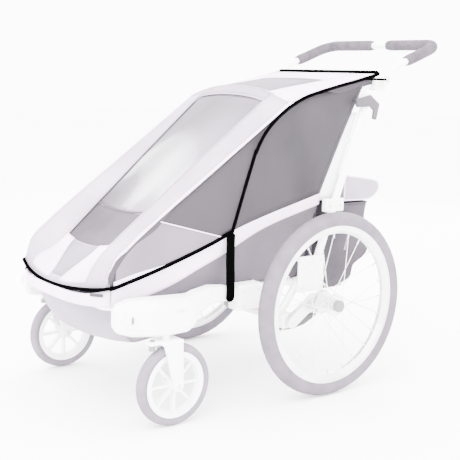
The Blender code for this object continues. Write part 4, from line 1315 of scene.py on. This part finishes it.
def frame_fittings():
    """Bolts through the suspension fittings, uprights and knuckles."""
    out = (1, 0, 0)
    legs = [bolt(0.2375, y, z, out, 0.0040) for y, z in ((-0.090, 0.200), (-0.066, 0.180))]
    legs += [bolt(0.2355, y, z, out, 0.0040) for y, z in ((-0.035, 0.275), (0.030, 0.345), (0.030, 0.275))]
    bolts("leg_bolts", legs, "chassis")
    bolts("upright_bolts", [bolt(0.2230, y, 0.4875, out, 0.0038) for y in (0.064, 0.104)], "back_frame")
    pivot = bolt(0.2342, *BAR_PIVOT, out, 0.0085, "bar_pivot_bolt")
    pair(pivot, "handlebar")
    pivot = bolt(0.2525, -0.078, 0.190, out, 0.0060, "arm_pivot_bolt")
    pair(pivot, "suspension_{side}")


# --- Stage ---


def camera():
    """The main view: from the left and ahead, a little above."""
    turn, dip, roll = math.radians(51.64), math.radians(9.24), math.radians(1.86)
    forward = Vector((-math.sin(turn) * math.cos(dip), math.cos(turn) * math.cos(dip), -math.sin(dip)))
    right = Vector((math.cos(turn), math.sin(turn), 0))
    up = right.cross(forward)
    axis_x = right * math.cos(roll) + up * math.sin(roll)
    axis_y = up * math.cos(roll) - right * math.sin(roll)
    data = bpy.data.cameras.new("camera")
    data.lens = 72.56
    data.sensor_width = 36
    data.clip_start, data.clip_end = 0.05, 50
    thing = bpy.data.objects.new("camera", data)
    bpy.context.scene.collection.objects.link(thing)
    aim = Matrix((axis_x, axis_y, -forward)).transposed().to_4x4()
    thing.matrix_world = Matrix.Translation(at(1.995, -1.677, 0.814)) @ aim
    bpy.context.scene.camera = thing


def area_light(name, spot, target, size, power):
    """A large soft light at a spot, aimed at a target."""
    data = bpy.data.lights.new(name, "AREA")
    data.shape = "RECTANGLE"
    data.size, data.size_y = size
    data.energy = power
    thing = bpy.data.objects.new(name, data)
    bpy.context.scene.collection.objects.link(thing)
    thing.location = spot
    thing.rotation_mode = "QUATERNION"
    thing.rotation_quaternion = (Vector(target) - Vector(spot)).to_track_quat("-Z", "Y")


def studio():
    """A plain pale floor, an even white surround and soft lights."""
    world = bpy.data.worlds.new("surround")
    world.use_nodes = True
    background = world.node_tree.nodes["Background"].inputs
    background["Color"].default_value = (1, 1, 1, 1)
    background["Strength"].default_value = SURROUND
    bpy.context.scene.world = world
    bm = bmesh.new()
    bmesh.ops.create_grid(bm, x_segments=4, y_segments=4, size=20.0)
    floor = new_object("floor", bm, "floor")
    floor.location.z = -0.0005
    area_light("key", (1.6, -2.6, 3.2), (0, 0, 0.4), (2.6, 2.6), 520)
    area_light("window_glow", (-2.6, -0.28, 2.27), (0, -0.25, 0.50), (0.35, 0.45), 50)
    area_light("rear_fill", (-2.2, 2.6, 2.2), (0, 0, 0.5), (2.5, 2.5), 190)


def build():
    """The whole visual model, piece by piece."""
    camera()
    studio()
    dress_cad_nodes()
    cover_border()
    cover_window()
    apron()
    window_welt()
    cover_seams()
    cover_edges()
    hem_cord()
    roof()
    roof_skirt()
    roof_lines()
    belts()
    side_windows()
    side_pockets()
    pocket_hems()
    rear_gussets()
    rear_flaps()
    side_lines()
    nose()
    side_straps()
    seat()
    backrest()
    straps()
    bag()
    lid()
    grips()
    rear_wheels()
    caster_wheels()
    arm_fittings()
    frame_fittings()


build()
